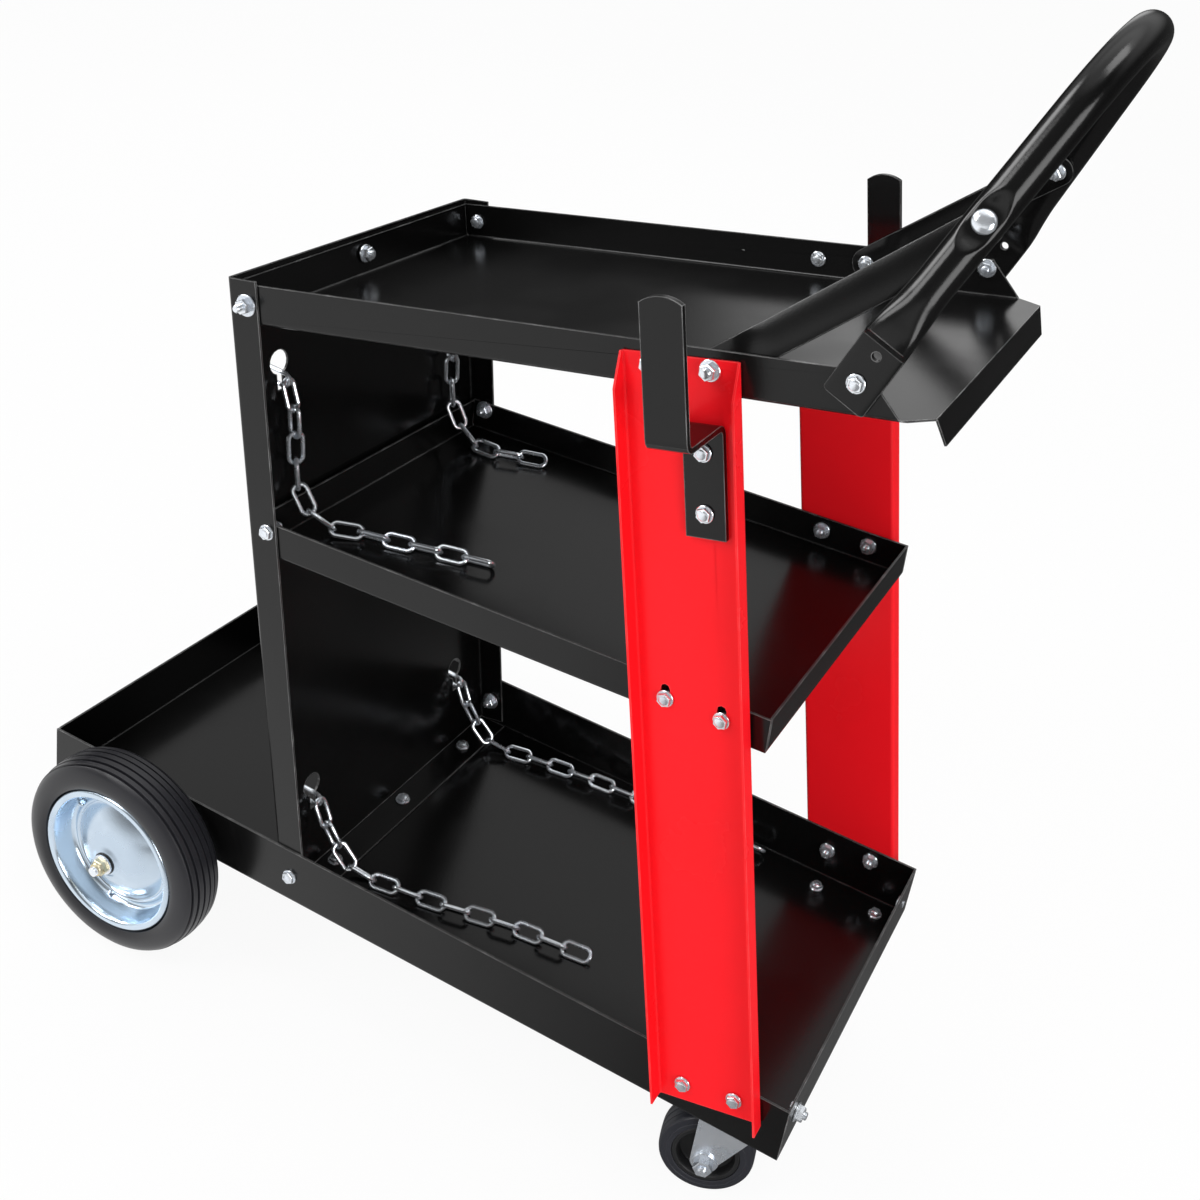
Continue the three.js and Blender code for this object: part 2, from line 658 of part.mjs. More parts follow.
const axleBracket = join([
  box(axleX - halfBracket, axleX + halfBracket, -bracketY, -bracketY + 24, bracketTop, trayHeight),
  box(
    axleX - halfBracket,
    axleX + halfBracket,
    -bracketY,
    -bracketY + bracketThickness,
    trayHeight - bracketDepth,
    bracketTop,
  ),
]).subtract(axleBore);

const wheelSides = 30;
const halfTyre = tyreWidth / 2;
const seat = rimRadius + fit;
const tyreProfile = [
  [seat, -halfTyre + 3],
  [seat + 7, -halfTyre],
  [wheelRadius - 9, -halfTyre + 1],
  [wheelRadius - 2.5, -halfTyre + 5],
  [wheelRadius, -halfTyre + 12],
  [wheelRadius, halfTyre - 12],
  [wheelRadius - 2.5, halfTyre - 5],
  [wheelRadius - 9, halfTyre - 1],
  [seat + 7, halfTyre],
  [seat, halfTyre - 3],
];
const hubRadius = hubDiameter / 2;
const bore = axleRadius + runFit;
const hubHalf = tyreWidth / 2 + 1;
const rimEdge = 1; // rim inside the face of the tyre
// The disc's two faces from the hub out to the ring: an even dome, highest at the hub.
const domeShares = [0, 0.25, 0.5, 0.75, 1];
const dome = (t, inside) => [
  hubRadius + t * (ringRadius - hubRadius),
  inside - domeRise * (1 - t * t),
];
const rimProfile = [
  [bore, hubHalf],
  [bore, -hubHalf],
  [hubRadius, -hubHalf],
  ...domeShares.map((t) => dome(t, 0)),
  [wellRadius, discSheet - halfTyre / 2],
  [wellRadius, rimEdge - halfTyre],
  [rimRadius, rimEdge - halfTyre],
  [rimRadius, halfTyre - rimEdge],
  [wellRadius, halfTyre - rimEdge],
  [wellRadius, 0],
  ...domeShares.toReversed().map((t) => dome(t, discSheet)),
  [hubRadius, hubHalf],
];
const wheelPlace = (s) => move(s, axleX, -wheelY, wheelRadius);
const rearTyre = wheelPlace(turned(tyreProfile, wheelSides));
const rearRim = wheelPlace(turned(rimProfile, wheelSides));
const onAxle = (radius, y0, y1, sides) => rod(radius, y0, y1, sides, axleX, wheelRadius);
const axleClear = onAxle(axleRadius + fit, -nutEnd - 1, -hubStart, 16);
const washerEnd = washerStart + axleWasherThickness;
const axleWasher = onAxle(axleWasherDiameter / 2, -washerEnd, -washerStart, 20).subtract(axleClear);
const nutCorner = axleNutFlats / 2 / Math.cos(Math.PI / 6);
const axleNut = onAxle(nutCorner, -nutEnd, -nutStart, 6).subtract(axleClear);

// Casters, made round their swivel axis and then turned.
const plateBottom = trayHeight - casterPlateThickness;
const raceTop = plateBottom - fit;
const crownTop = raceTop - casterRaceHeight;
const crownBottom = crownTop - forkThickness;
const pinRadius = kingpinDiameter / 2;
const hubWide = casterTyreWidth / 2 + 2;
const forkInner = hubWide + 2 * fit;
const forkOuter = forkInner + forkThickness;
const casterPlate = box(
  -casterPlateLength / 2,
  casterPlateLength / 2,
  -casterPlateWidth / 2,
  casterPlateWidth / 2,
  plateBottom,
  trayHeight,
).subtract(post(pinRadius + fit, plateBottom - 1, trayHeight + 1, 16));
const kingpin = join([
  post(pinRadius, crownBottom - 5, trayHeight, 16),
  post(pinRadius + 4, crownBottom - 5, crownBottom - fit, 16),
]);
const halfTop = forkTopLength / 2;
const forkSide = new THREE.Shape();
forkSide.moveTo(halfTop, crownTop);
forkSide.lineTo(-halfTop, crownTop);
forkSide.lineTo(-halfTop, crownTop - 14);
forkSide.lineTo(-casterTrail - forkEnd, casterRadius);
forkSide.absarc(-casterTrail, casterRadius, forkEnd, Math.PI, 2 * Math.PI, false);
forkSide.lineTo(halfTop, crownTop - 14);
const casterBore = casterAxleDiameter / 2 + runFit;
const casterFork = join([
  acrossY(forkSide, -forkOuter, forkThickness, 6),
  acrossY(forkSide, forkInner, forkThickness, 6),
  box(-halfTop, halfTop, -forkOuter, forkOuter, crownBottom, crownTop),
  post(casterRace / 2, crownTop - 1, raceTop, 24),
])
  .subtract(post(pinRadius + runFit, crownBottom - 1, raceTop + 1, 16))
  .subtract(rod(casterBore, -forkOuter - 1, forkOuter + 1, 16, -casterTrail, casterRadius));
const casterSides = 24;
const casterHalf = casterTyreWidth / 2;
const casterSeat = casterRadius - casterTyreDepth;
const casterTyreProfile = [
  [casterSeat + fit, -casterHalf],
  [casterRadius - 3, -casterHalf],
  [casterRadius - 0.8, -casterHalf + 3],
  [casterRadius, -casterHalf + 7],
  [casterRadius, casterHalf - 7],
  [casterRadius - 0.8, casterHalf - 3],
  [casterRadius - 3, casterHalf],
  [casterSeat + fit, casterHalf],
];
const casterHubProfile = [
  [casterBore, -hubWide],
  [9, -hubWide],
  [9, -casterHalf + 4],
  [casterSeat - 4, -casterHalf + 4],
  [casterSeat - 4, -casterHalf],
  [casterSeat, -casterHalf],
  [casterSeat, casterHalf],
  [casterSeat - 4, casterHalf],
  [casterSeat - 4, casterHalf - 4],
  [9, casterHalf - 4],
  [9, hubWide],
  [casterBore, hubWide],
];
const onCasterAxle = (s) => move(s, -casterTrail, 0, casterRadius);
const casterTyre = onCasterAxle(turned(casterTyreProfile, casterSides));
const casterHub = onCasterAxle(turned(casterHubProfile, casterSides));
const casterAxle = onCasterAxle(
  join([
    rod(casterAxleDiameter / 2, -forkOuter - 10, forkOuter + 4, 14),
    rod(7.5, -forkOuter - fit - 6.5, -forkOuter - fit, 6),
    rod(7.5, forkOuter + fit, forkOuter + fit + 5.3, 6),
  ]),
);
const casterFrame = (y) =>
  new THREE.Matrix4()
    .makeTranslation(casterX, y, 0)
    .multiply(new THREE.Matrix4().makeRotationZ(THREE.MathUtils.degToRad(casterTurn)));

// Chains: stretched rings, each turned a quarter from the last, hung in a keyhole and laid along a floor.
const linkStretch = (linkLength - linkWidth) / 2;
function linkGeometry() {
  const g = new THREE.TorusGeometry((linkWidth - linkWire) / 2, linkWire / 2, 4, 6);
  const p = g.getAttribute("position");
  for (let i = 0; i < p.count; i++) {
    p.setX(i, p.getX(i) + Math.sign(p.getX(i)) * linkStretch);
  }
  return g;
}
const link = solid(linkGeometry());
const linkPitch = linkLength - 2 * linkWire + linkLap;

// A chain along a smooth line through the given points.
// Each link spans one pitch of the line, and after the keyhole the links roll over to rest on two sides.
function chain(points, count) {
  const line = new THREE.CatmullRomCurve3(points, false, "centripetal");
  const dense = line.getSpacedPoints(900);
  const links = [];
  let k = 0;
  let from = dense[0];
  for (let i = 0; i < count; i++) {
    while (k < dense.length && dense[k].distanceTo(from) < linkPitch) {
      k += 1;
    }
    if (k === dense.length) {
      throw new Error("a chain is longer than its line");
    }
    const to = dense[k];
    const along = to.clone().sub(from).normalize();
    const sideways = new THREE.Vector3(0, 1, 0).addScaledVector(along, -along.y).normalize();
    const upward = new THREE.Vector3().crossVectors(along, sideways);
    const basis = new THREE.Matrix4().makeBasis(along, sideways, upward);
    const roll = (i % 2 ? 0 : Math.PI / 2) + (Math.PI / 4) * THREE.MathUtils.smoothstep(i, 1, 4);
    const middle = from.clone().add(to).multiplyScalar(0.5);
    const matrix = new THREE.Matrix4()
      .makeTranslation(middle.x, middle.y, middle.z)
      .multiply(basis)
      .multiply(new THREE.Matrix4().makeRotationX(roll));
    links.push(place(link, matrix));
    from = to;
  }
  return join(links);
}

const linkRest = ((linkWidth - linkWire) / 2) * Math.SQRT1_2 + linkWire / 2 - fit;
const onPanel = (y, up, off) => at(panelFrame, sheet + off, y, up);
const slotFoot = (up) => up - keyholeSlotLength + linkWidth / 2;
const hang = linkWidth / 2 + 3;
const onShelf = (along, y, lift = 0) => at(shelfFrame, along, y, sheet + linkRest + lift);
const onTray = (along, y, lift = 0) =>
  new THREE.Vector3(panelX + along, y, trayHeight + sheet + linkRest + lift);
const shelfUp = shelfRise / cos(panelLean);
const upperStart = (y) => [
  onPanel(y, slotFoot(keyholeUpper) + 6, -linkLength / 2),
  onPanel(y, slotFoot(keyholeUpper), hang - 2),
  onPanel(y, slotFoot(keyholeUpper) - 24, hang + 1),
];
const lowerStart = (y) => [
  onPanel(y, slotFoot(keyholeLower) + 6, -linkLength / 2),
  onPanel(y, slotFoot(keyholeLower), hang - 2),
  onPanel(y, slotFoot(keyholeLower) - 20, hang + 3),
];
const shelfTurn = (y) => [
  onPanel(y, shelfUp + 48, hang),
  onPanel(y, shelfUp + 28, hang + 2),
];
const chains = {
  chain_upper_near: chain(
    [
      ...upperStart(-keyholeY),
      ...shelfTurn(-keyholeY),
      onShelf(23, 4 - keyholeY, 5),
      onShelf(38, 12 - keyholeY),
      onShelf(52, 18 - keyholeY),
      onShelf(74, 22 - keyholeY),
      onShelf(113, 31 - keyholeY),
      onShelf(156, 40 - keyholeY),
      onShelf(210, 50 - keyholeY),
    ],
    13,
  ),
  chain_upper_far: chain(
    [
      ...upperStart(keyholeY),
      ...shelfTurn(keyholeY),
      onShelf(23, keyholeY, 5),
      onShelf(38, keyholeY - 3),
      onShelf(54, keyholeY - 1),
      onShelf(72, keyholeY + 5),
      onShelf(92, keyholeY + 11),
      onShelf(130, keyholeY + 19),
    ],
    10,
  ),
  chain_lower_near: chain(
    [
      ...lowerStart(-keyholeY),
      onTray(31, 3 - keyholeY, 6),
      onTray(45, 4 - keyholeY),
      onTray(60, 7 - keyholeY),
      onTray(98, 12 - keyholeY),
      onTray(137, 20 - keyholeY),
      onTray(175, 28 - keyholeY),
      onTray(210, 32 - keyholeY),
      onTray(280, 40 - keyholeY),
    ],
    14,
  ),
  chain_lower_far: chain(
    [
      ...lowerStart(keyholeY),
      onTray(31, keyholeY + 5, 6),
      onTray(45, keyholeY + 7),
      onTray(62, keyholeY + 11),
      onTray(100, keyholeY + 17),
      onTray(138, keyholeY + 22),
      onTray(174, keyholeY + 25),
      onTray(240, keyholeY + 30),
      onTray(370, keyholeY + 34),
    ],
    17,
  ),
};

// Looks of the pieces, as in the photo.
const look = (color, roughness, metalness) => new THREE.MeshStandardMaterial({ color, roughness, metalness });
const black = look(0x1b1b1d, 0.28, 0.1);
const red = look(0xe0141e, 0.32, 0.05);
const zinc = look(0xc3c9d2, 0.3, 0.9);
const gold = look(0xc9b98c, 0.35, 0.9);
const rubber = look(0x26262a, 0.85, 0);
const greyRubber = look(0x41434d, 0.7, 0);
const plastic = look(0x161618, 0.5, 0);

const root = new THREE.Group();
function add(name, s, material) {
  const made = s.getMesh();
  const g = new THREE.BufferGeometry();
  g.setAttribute("position", new THREE.BufferAttribute(made.vertProperties.slice(), 3));
  g.setIndex(new THREE.BufferAttribute(made.triVerts.slice(), 1));
  g.computeVertexNormals();
  const mesh = new THREE.Mesh(g, material);
  mesh.name = name;
  root.add(mesh);
}
function addPair(name, s, material) {
  add(name + "_near", s, material);
  add(name + "_far", mirror(s), material);
}

add("bottom_tray", bottomTray, black);
add("middle_shelf", middleShelf, black);
add("top_tray", topTray, black);
add("rear_panel", rearPanel, black);
addPair("upright", upright, red);
addPair("cable_hook", cableHook, black);
add("handle", handle, black);
addPair("brace", brace, black);
add("rear_axle", rearAxle, zinc);
addPair("axle_bracket", axleBracket, black);
addPair("rear_tyre", rearTyre, rubber);
addPair("rear_rim", rearRim, zinc);
addPair("axle_washer", axleWasher, zinc);
addPair("axle_nut", axleNut, gold);
for (const [end, y] of [
  ["near", -casterY],
  ["far", casterY],
]) {
  const frame = casterFrame(y);
  add("caster_plate_" + end, move(casterPlate, casterX, y, 0), zinc);
  add("caster_kingpin_" + end, move(kingpin, casterX, y, 0), zinc);
  add("caster_fork_" + end, place(casterFork, frame), zinc);
  add("caster_tyre_" + end, place(casterTyre, frame), greyRubber);
  add("caster_hub_" + end, place(casterHub, frame), plastic);
  add("caster_axle_" + end, place(casterAxle, frame), zinc);
}
for (const [name, s] of Object.entries(chains)) {
  add(name, s, zinc);
}
for (const [name, s] of Object.entries(boltsNear)) {
  addPair(name, s, zinc);
}

// The origin is the middle of the bounding box on the floor.
const middle = new THREE.Box3().setFromObject(root).getCenter(new THREE.Vector3());
root.children.forEach((mesh) => mesh.position.set(-middle.x, -middle.y, 0));

export default root;
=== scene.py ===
# %% [markdown]
# # A welding cart, dressed
# The cart is folded black sheet, two red channel uprights, a bent tube handle, two rubber wheels, two
# casters and four zinc chains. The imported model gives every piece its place, so this lesson starts by
# loading it. Sizes below are in millimetres, and one matrix turns them into Blender's metres.

# %% Load the frame
import math

import bmesh
import bpy
from mathutils import Matrix, Vector


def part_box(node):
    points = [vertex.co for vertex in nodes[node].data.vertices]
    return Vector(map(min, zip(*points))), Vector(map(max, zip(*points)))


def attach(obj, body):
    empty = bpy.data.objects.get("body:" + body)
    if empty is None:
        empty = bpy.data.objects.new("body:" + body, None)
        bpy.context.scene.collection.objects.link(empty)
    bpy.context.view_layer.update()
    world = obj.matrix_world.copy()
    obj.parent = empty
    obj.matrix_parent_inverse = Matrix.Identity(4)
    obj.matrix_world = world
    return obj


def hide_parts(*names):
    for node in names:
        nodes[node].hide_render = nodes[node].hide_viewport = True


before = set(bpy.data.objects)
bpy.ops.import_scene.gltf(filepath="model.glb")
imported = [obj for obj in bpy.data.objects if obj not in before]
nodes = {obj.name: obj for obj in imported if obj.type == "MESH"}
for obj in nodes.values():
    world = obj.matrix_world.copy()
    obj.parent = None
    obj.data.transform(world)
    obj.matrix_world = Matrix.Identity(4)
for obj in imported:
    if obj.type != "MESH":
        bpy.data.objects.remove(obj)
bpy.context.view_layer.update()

MM = 0.001
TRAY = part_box("bottom_tray")[0]  # rear lower corner of the bottom tray: x and z are counted from here
SIDES = {"near": -1, "far": 1}


def seat(x, y, z, about_y=0.0, about_z=0.0):
    """A place counted from the tray's rear underside, with turns in degrees, for points in millimetres."""
    spot = Vector((TRAY.x + x * MM, y * MM, TRAY.z + z * MM))
    turn = Matrix.Rotation(math.radians(about_y), 4, "Y") @ Matrix.Rotation(math.radians(about_z), 4, "Z")
    return Matrix.Translation(spot) @ turn @ Matrix.Scale(MM, 4)


print(len(nodes), "nodes, tray corner at", [round(v, 4) for v in TRAY])

# %% [markdown]
# ## Camera
# The view looks down on the cart from the handle end. A perspective can be written as a place, two axes
# and a focal length in pixels, which is how it was solved from the straight edges of the sheet metal.
# Blender wants a lens and a shift, so the last lines only change units.

# %% Camera
FRAME_PX = 1200
FOCAL_PX = 1459.28
CENTRE_PX = (776.18, 343.38)
CAMERA_AT = (823.6, -899.2, 928.0)
CAMERA_RIGHT = Vector((0.89976, 0.39299, 0.18972))
CAMERA_DOWN = Vector((0.31356, -0.27985, -0.90739))

lens = bpy.data.cameras.new("studio_camera")
lens.sensor_width = 36
lens.lens = FOCAL_PX / FRAME_PX * lens.sensor_width
lens.shift_x = 0.5 - CENTRE_PX[0] / FRAME_PX
lens.shift_y = CENTRE_PX[1] / FRAME_PX - 0.5
lens.clip_end = 50
camera = bpy.data.objects.new("studio_camera", lens)
bpy.context.collection.objects.link(camera)
forward = CAMERA_RIGHT.cross(CAMERA_DOWN)
axes = Matrix((CAMERA_RIGHT, -CAMERA_DOWN, -forward)).transposed().to_4x4()
camera.matrix_world = Matrix.Translation(seat(*CAMERA_AT).translation) @ axes
bpy.context.scene.camera = camera
print("lens", round(lens.lens, 2), "mm, shift", round(lens.shift_x, 3), round(lens.shift_y, 3))

# %% [markdown]
# ## Shared surface effects
# Powder coat, zinc and rubber have marks that repeat from finish to finish: a fine ripple, cloudy
# patches, hairline scratches and pale edges, which are partly wear and partly painted highlight lines.
# Each could be drawn again in every material, but a node group is built once and given its own values
# where it is used. The groups put out masks and heights only.


# %% Node helpers
def node(tree, kind, inputs=(), **settings):
    """A node with its settings, and with each input linked or set."""
    made = tree.nodes.new(kind)
    for key, value in settings.items():
        setattr(made, key, value)
    for key, value in dict(inputs).items():
        if isinstance(value, bpy.types.NodeSocket):
            tree.links.new(value, made.inputs[key])
        else:
            made.inputs[key].default_value = value
    return made


def calc(tree, operation, a, b):
    return node(tree, "ShaderNodeMath", {0: a, 1: b}, operation=operation).outputs[0]


def mixed(tree, factor, a, b):
    return node(tree, "ShaderNodeMix", {0: factor, 6: a, 7: b}, data_type="RGBA").outputs[2]


def noise(tree, where, scale, detail):
    return node(tree, "ShaderNodeTexNoise", {"Vector": where, "Scale": scale, "Detail": detail}).outputs[0]


def spread(tree, value, low, high, to_low=0.0, to_high=1.0):
    """The part of a value between two levels, stretched to two others."""
    levels = {"From Min": low, "From Max": high, "To Min": to_low, "To Max": to_high}
    return node(
        tree, "ShaderNodeMapRange", {"Value": value, **levels}, interpolation_type="SMOOTHSTEP"
    ).outputs[0]


def new_group(name, output, **inputs):
    tree = bpy.data.node_groups.new(name, "ShaderNodeTree")
    for label, value in inputs.items():
        socket = tree.interface.new_socket(label, in_out="INPUT", socket_type="NodeSocketFloat")
        socket.default_value = value
    tree.interface.new_socket(output, in_out="OUTPUT", socket_type="NodeSocketFloat")
    where = node(tree, "ShaderNodeTexCoord").outputs["Object"]
    return tree, node(tree, "NodeGroupInput").outputs, where


def close_group(tree, value):
    tree.links.new(value, node(tree, "NodeGroupOutput").inputs[0])
    print("group", tree.name, "with", len(tree.nodes), "nodes")
    return tree


# %% Effect groups
tree, given, where = new_group("fine_ripple", "Height", Scale=500.0)
fine_ripple = close_group(tree, noise(tree, where, given["Scale"], 2.0))

tree, given, where = new_group("cloudy_patches", "Mask", Scale=9.0, Low=0.42, High=0.68)
clouds = noise(tree, where, given["Scale"], 5.0)
cloudy_patches = close_group(tree, spread(tree, clouds, given["Low"], given["High"]))

tree, given, where = new_group("hair_scratches", "Mask", Density=60.0, Low=0.66)
strokes = []
for turn, stretch in (((0.3, 0.2, 0.5), (1, 14, 3)), ((1.1, 0.7, -0.4), (12, 1, 2))):
    laid = node(tree, "ShaderNodeMapping", {"Vector": where, "Rotation": turn, "Scale": stretch}).outputs[0]
    strokes.append(spread(tree, noise(tree, laid, given["Density"], 4.0), given["Low"], 0.8))
hair_scratches = close_group(tree, calc(tree, "MAXIMUM", *strokes))

# The pale edge this mask brings is partly wear and partly a painted highlight line along the sheet edges.
tree, given, where = new_group("worn_and_lit_edges", "Mask", Radius=0.0012, Patchiness=0.45)
rounded = node(tree, "ShaderNodeBevel", {"Radius": given["Radius"]}, samples=4).outputs[0]
straight = node(tree, "ShaderNodeNewGeometry").outputs["Normal"]
match = node(tree, "ShaderNodeVectorMath", {0: rounded, 1: straight}, operation="DOT_PRODUCT").outputs[1]
patchy = spread(tree, noise(tree, where, 55.0, 4.0), given["Patchiness"], 0.75, 0.4, 1.0)
worn_and_lit_edges = close_group(tree, calc(tree, "MULTIPLY", spread(tree, match, 0.995, 0.85), patchy))

# %% [markdown]
# ## Finishes
# Eight finishes cover the cart: black and red powder coat, bright zinc, the bluer zinc of the rims, the
# warmer zinc of the axle nuts, tyre rubber, caster rubber and a moulded hub. Every one is a
# Principled shader. What stays the same all over sits on the shader's own sockets, and only what changes
# over the surface comes through the nodes.


# %% Finish maker
SCRATCH_SHARE = 0.35
RIPPLE_DEPTH = 0.0005  # metres


def finish(name, base, mark, edge, rough, ripple, metal=0.0, patches=9.0, specular=0.5):
    """Colours of the surface, its marks and its edges (partly wear, partly painted highlight), two
    roughnesses, and ripple scale and strength.
    """
    made = bpy.data.materials.new(name)
    made["slot"] = name.replace("rim_", "")
    made.use_nodes = True
    tree = made.node_tree
    shader = tree.nodes["Principled BSDF"]
    shader.inputs["Metallic"].default_value = metal
    shader.inputs["Specular IOR Level"].default_value = specular

    def use(group, **values):
        return node(tree, "ShaderNodeGroup", values, node_tree=group).outputs[0]

    scratches = calc(tree, "MULTIPLY", use(hair_scratches), SCRATCH_SHARE)
    marks = calc(tree, "MAXIMUM", use(cloudy_patches, Scale=patches), scratches)
    colour = mixed(tree, marks, (*base, 1), (*mark, 1))
    # The edge colour mixed in here is partly wear and partly a painted highlight along the edges.
    colour = mixed(tree, use(worn_and_lit_edges), colour, (*edge, 1))
    bump = {"Strength": ripple[1], "Distance": RIPPLE_DEPTH, "Height": use(fine_ripple, Scale=ripple[0])}
    tree.links.new(colour, shader.inputs["Base Color"])
    tree.links.new(spread(tree, marks, 0.0, 1.0, *rough), shader.inputs["Roughness"])
    tree.links.new(node(tree, "ShaderNodeBump", bump).outputs[0], shader.inputs["Normal"])
    print("finish", name, "with", len(tree.nodes), "nodes")
    return made


# %% The eight finishes
# The black coat's edge colour of 0.36 is mainly a painted highlight line along the sheet edges, with some
# wear.
black_coat = finish(
    "black_coat", (0.003,) * 3, (0.004,) * 3, (0.36,) * 3, (0.18, 0.23), (520, 0.06), specular=0.36
)
red_coat = finish(
    "red_coat",
    (0.9, 0.009, 0.016),
    (0.87, 0.008, 0.014),
    (1, 0.12, 0.12),
    (0.24, 0.28),
    (520, 0.06),
    specular=0.16,
)
zinc = finish(
    "zinc", (0.88, 0.92, 0.97), (0.72, 0.77, 0.84), (0.92, 0.94, 0.96), (0.2, 0.3), (900, 0.08), 0.85, 40
)
rim_zinc = finish(
    "rim_zinc",
    (0.68, 0.79, 0.9),
    (0.6, 0.71, 0.83),
    (0.85, 0.88, 0.92),
    (0.2, 0.28),
    (300, 0.05),
    1.0,
    16,
)
yellow_zinc = finish(
    "yellow_zinc",
    (0.72, 0.62, 0.38),
    (0.66, 0.6, 0.46),
    (0.85, 0.8, 0.6),
    (0.26, 0.4),
    (900, 0.08),
    1.0,
    60,
)
tyre_rubber = finish(
    "tyre_rubber",
    (0.009, 0.009, 0.012),
    (0.013, 0.013, 0.017),
    (0.04, 0.04, 0.045),
    (0.33, 0.43),
    (1400, 0.12),
    specular=0.46,
)
caster_rubber = finish(
    "caster_rubber",
    (0.016, 0.017, 0.023),
    (0.021, 0.022, 0.029),
    (0.06, 0.06, 0.07),
    (0.34, 0.48),
    (1400, 0.15),
    specular=0.4,
)
hub_plastic = finish(
    "hub_plastic", (0.006, 0.006, 0.007), (0.011, 0.011, 0.012), (0.04,) * 3, (0.34, 0.5), (900, 0.15)
)

# %% [markdown]
# ## Making meshes
# Most hardware is either turned on an axis or drawn along a line, so two makers do nearly all of it: one
# spins a profile, one joins rings of points. Both give plain lists of points and faces in millimetres, and
# one function puts such a list in place, smooths it up to its sharp edges, and ties it to its body.


# %% Mesh makers
def revolve(profile, steps=48):
    """A closed profile of (radius, along) spun round the Y axis. A radius of 0 closes on the axis."""
    points, faces, rings = [], [], []
    for radius, along in profile:
        count = steps if radius else 1
        rings.append(range(len(points), len(points) + count))
        for k in range(count):
            a = math.tau * k / steps
            points.append(Vector((radius * math.cos(a), along, radius * math.sin(a))))
    for a, b in zip(rings, [*rings[1:], rings[0]]):
        for k in range(steps if len(a) + len(b) > 2 else 0):
            corners = [a[k % len(a)], a[(k + 1) % len(a)], b[(k + 1) % len(b)], b[k % len(b)]]
            faces.append(list(dict.fromkeys(corners)))
    return points, faces


def loft(rings):
    """Rings of equal counts joined in order, with both ends closed."""
    count = len(rings[0])
    points = [p for ring in rings for p in ring]
    faces = [list(range(count)), list(range(len(points) - count, len(points)))]
    for i in range(len(rings) - 1):
        for k in range(count):
            a, b = i * count + k, i * count + (k + 1) % count
            faces.append([a, b, b + count, a + count])
    return points, faces


def gather(*parts):
    points, faces = [], []
    for more, sides in parts:
        faces += [[i + len(points) for i in side] for side in sides]
        points += more
    return points, faces


def moved(part, matrix):
    return [matrix @ p for p in part[0]], part[1]


# %% Putting a piece in place
def mesh_object(name, part, sharp=35):
    """An object from a list of points and faces, its faces turned out and smooth up to an angle."""
    mesh = bpy.data.meshes.new(name)
    mesh.from_pydata(part[0], [], part[1])
    tidy = bmesh.new()
    tidy.from_mesh(mesh)
    bmesh.ops.remove_doubles(tidy, verts=tidy.verts, dist=1e-6)
    bmesh.ops.recalc_face_normals(tidy, faces=tidy.faces)
    tidy.to_mesh(mesh)
    tidy.free()
    mesh.shade_smooth()
    mesh.set_sharp_from_angle(angle=math.radians(sharp))
    made = bpy.data.objects.new(name, mesh)
    bpy.context.collection.objects.link(made)
    return made


def piece(name, part, finish, place=None, body="frame", stands_for=(), sharp=35):
    """A dressed object, tied to its body, which hides the nodes it stands for."""
    made = mesh_object(name, moved(part, place) if place else part, sharp)
    made.data.materials.append(finish)
    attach(made, body)
    if stands_for:
        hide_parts(*stands_for)
    return made


def soften(made, width):
    """A small round on every sharp edge."""
    bevel = made.modifiers.new("soft_edges", "BEVEL")
    bevel.width = width * MM
    bevel.segments = 2
    bevel.angle_limit = math.radians(50)
    made.modifiers.new("even_normals", "WEIGHTED_NORMAL")
    return made


# %% [markdown]
# ## Chains
# Four welded chains hold the gas cylinder. Each hangs in a keyhole of the rear panel, drops to the floor
# below it and lies there. A chain could be one link and an array along a curve, but its links have to roll
# over where they come to rest, so each link is placed one by one on a smooth line through a few points.

# %% Frames of the panel and the floors
SHEET = 1.5
PANEL_FOOT, PANEL_LEAN = 241, 9.7
SHELF_UP, SHELF_RISE = 305.6, 2.5
PANEL = seat(PANEL_FOOT, 0, 1.8, -PANEL_LEAN)
lean = math.radians(PANEL_LEAN)
SHELF = seat(PANEL_FOOT + 2.3 / math.cos(lean) - 303.8 * math.tan(lean), 0, SHELF_UP, -SHELF_RISE)
FLOOR = seat(PANEL_FOOT, 0, 0)

LINK_LENGTH, LINK_WIDTH, LINK_WIRE, LINK_PITCH = 28, 14.0, 3.4, 21.2
LINK_REST = 5.15  # middle of a link that lies on two of its edges, over the floor
KEYHOLE = 100  # keyholes from the middle of the panel


def hung(side, up, off):
    return PANEL @ Vector((SHEET + off, side * KEYHOLE, up))


def laid(floor, along, y, lift=0):
    return floor @ Vector((along, y, SHEET + LINK_REST + lift))


def upper_hang(side):
    return [hung(side, up, off) for up, off in ((435, -14), (429, 8), (405, 11), (358, 9), (338, 11))]


def lower_hang(side):
    return [hung(side, up, off) for up, off in ((67, -14), (61, 8), (41, 13))]


ROUTES = {  # links, the hanging part, the floor, and the lying part as (along, across, lift)
    "chain_upper_near": (
        13,
        upper_hang(-1),
        SHELF,
        ((23, -96, 5), (38, -88), (52, -82), (74, -78), (113, -69), (156, -60), (210, -50)),
    ),
    "chain_upper_far": (
        10,
        upper_hang(1),
        SHELF,
        ((23, 100, 5), (38, 97), (54, 99), (72, 105), (92, 111), (130, 119)),
    ),
    "chain_lower_near": (
        14,
        lower_hang(-1),
        FLOOR,
        ((31, -97, 6), (45, -96), (60, -93), (98, -88), (137, -80), (175, -72), (210, -68), (280, -60)),
    ),
    "chain_lower_far": (
        17,
        lower_hang(1),
        FLOOR,
        ((31, 105, 6), (45, 107), (62, 111), (100, 117), (138, 122), (174, 125), (240, 130), (370, 134)),
    ),
}
print(len(ROUTES), "routes for chains")


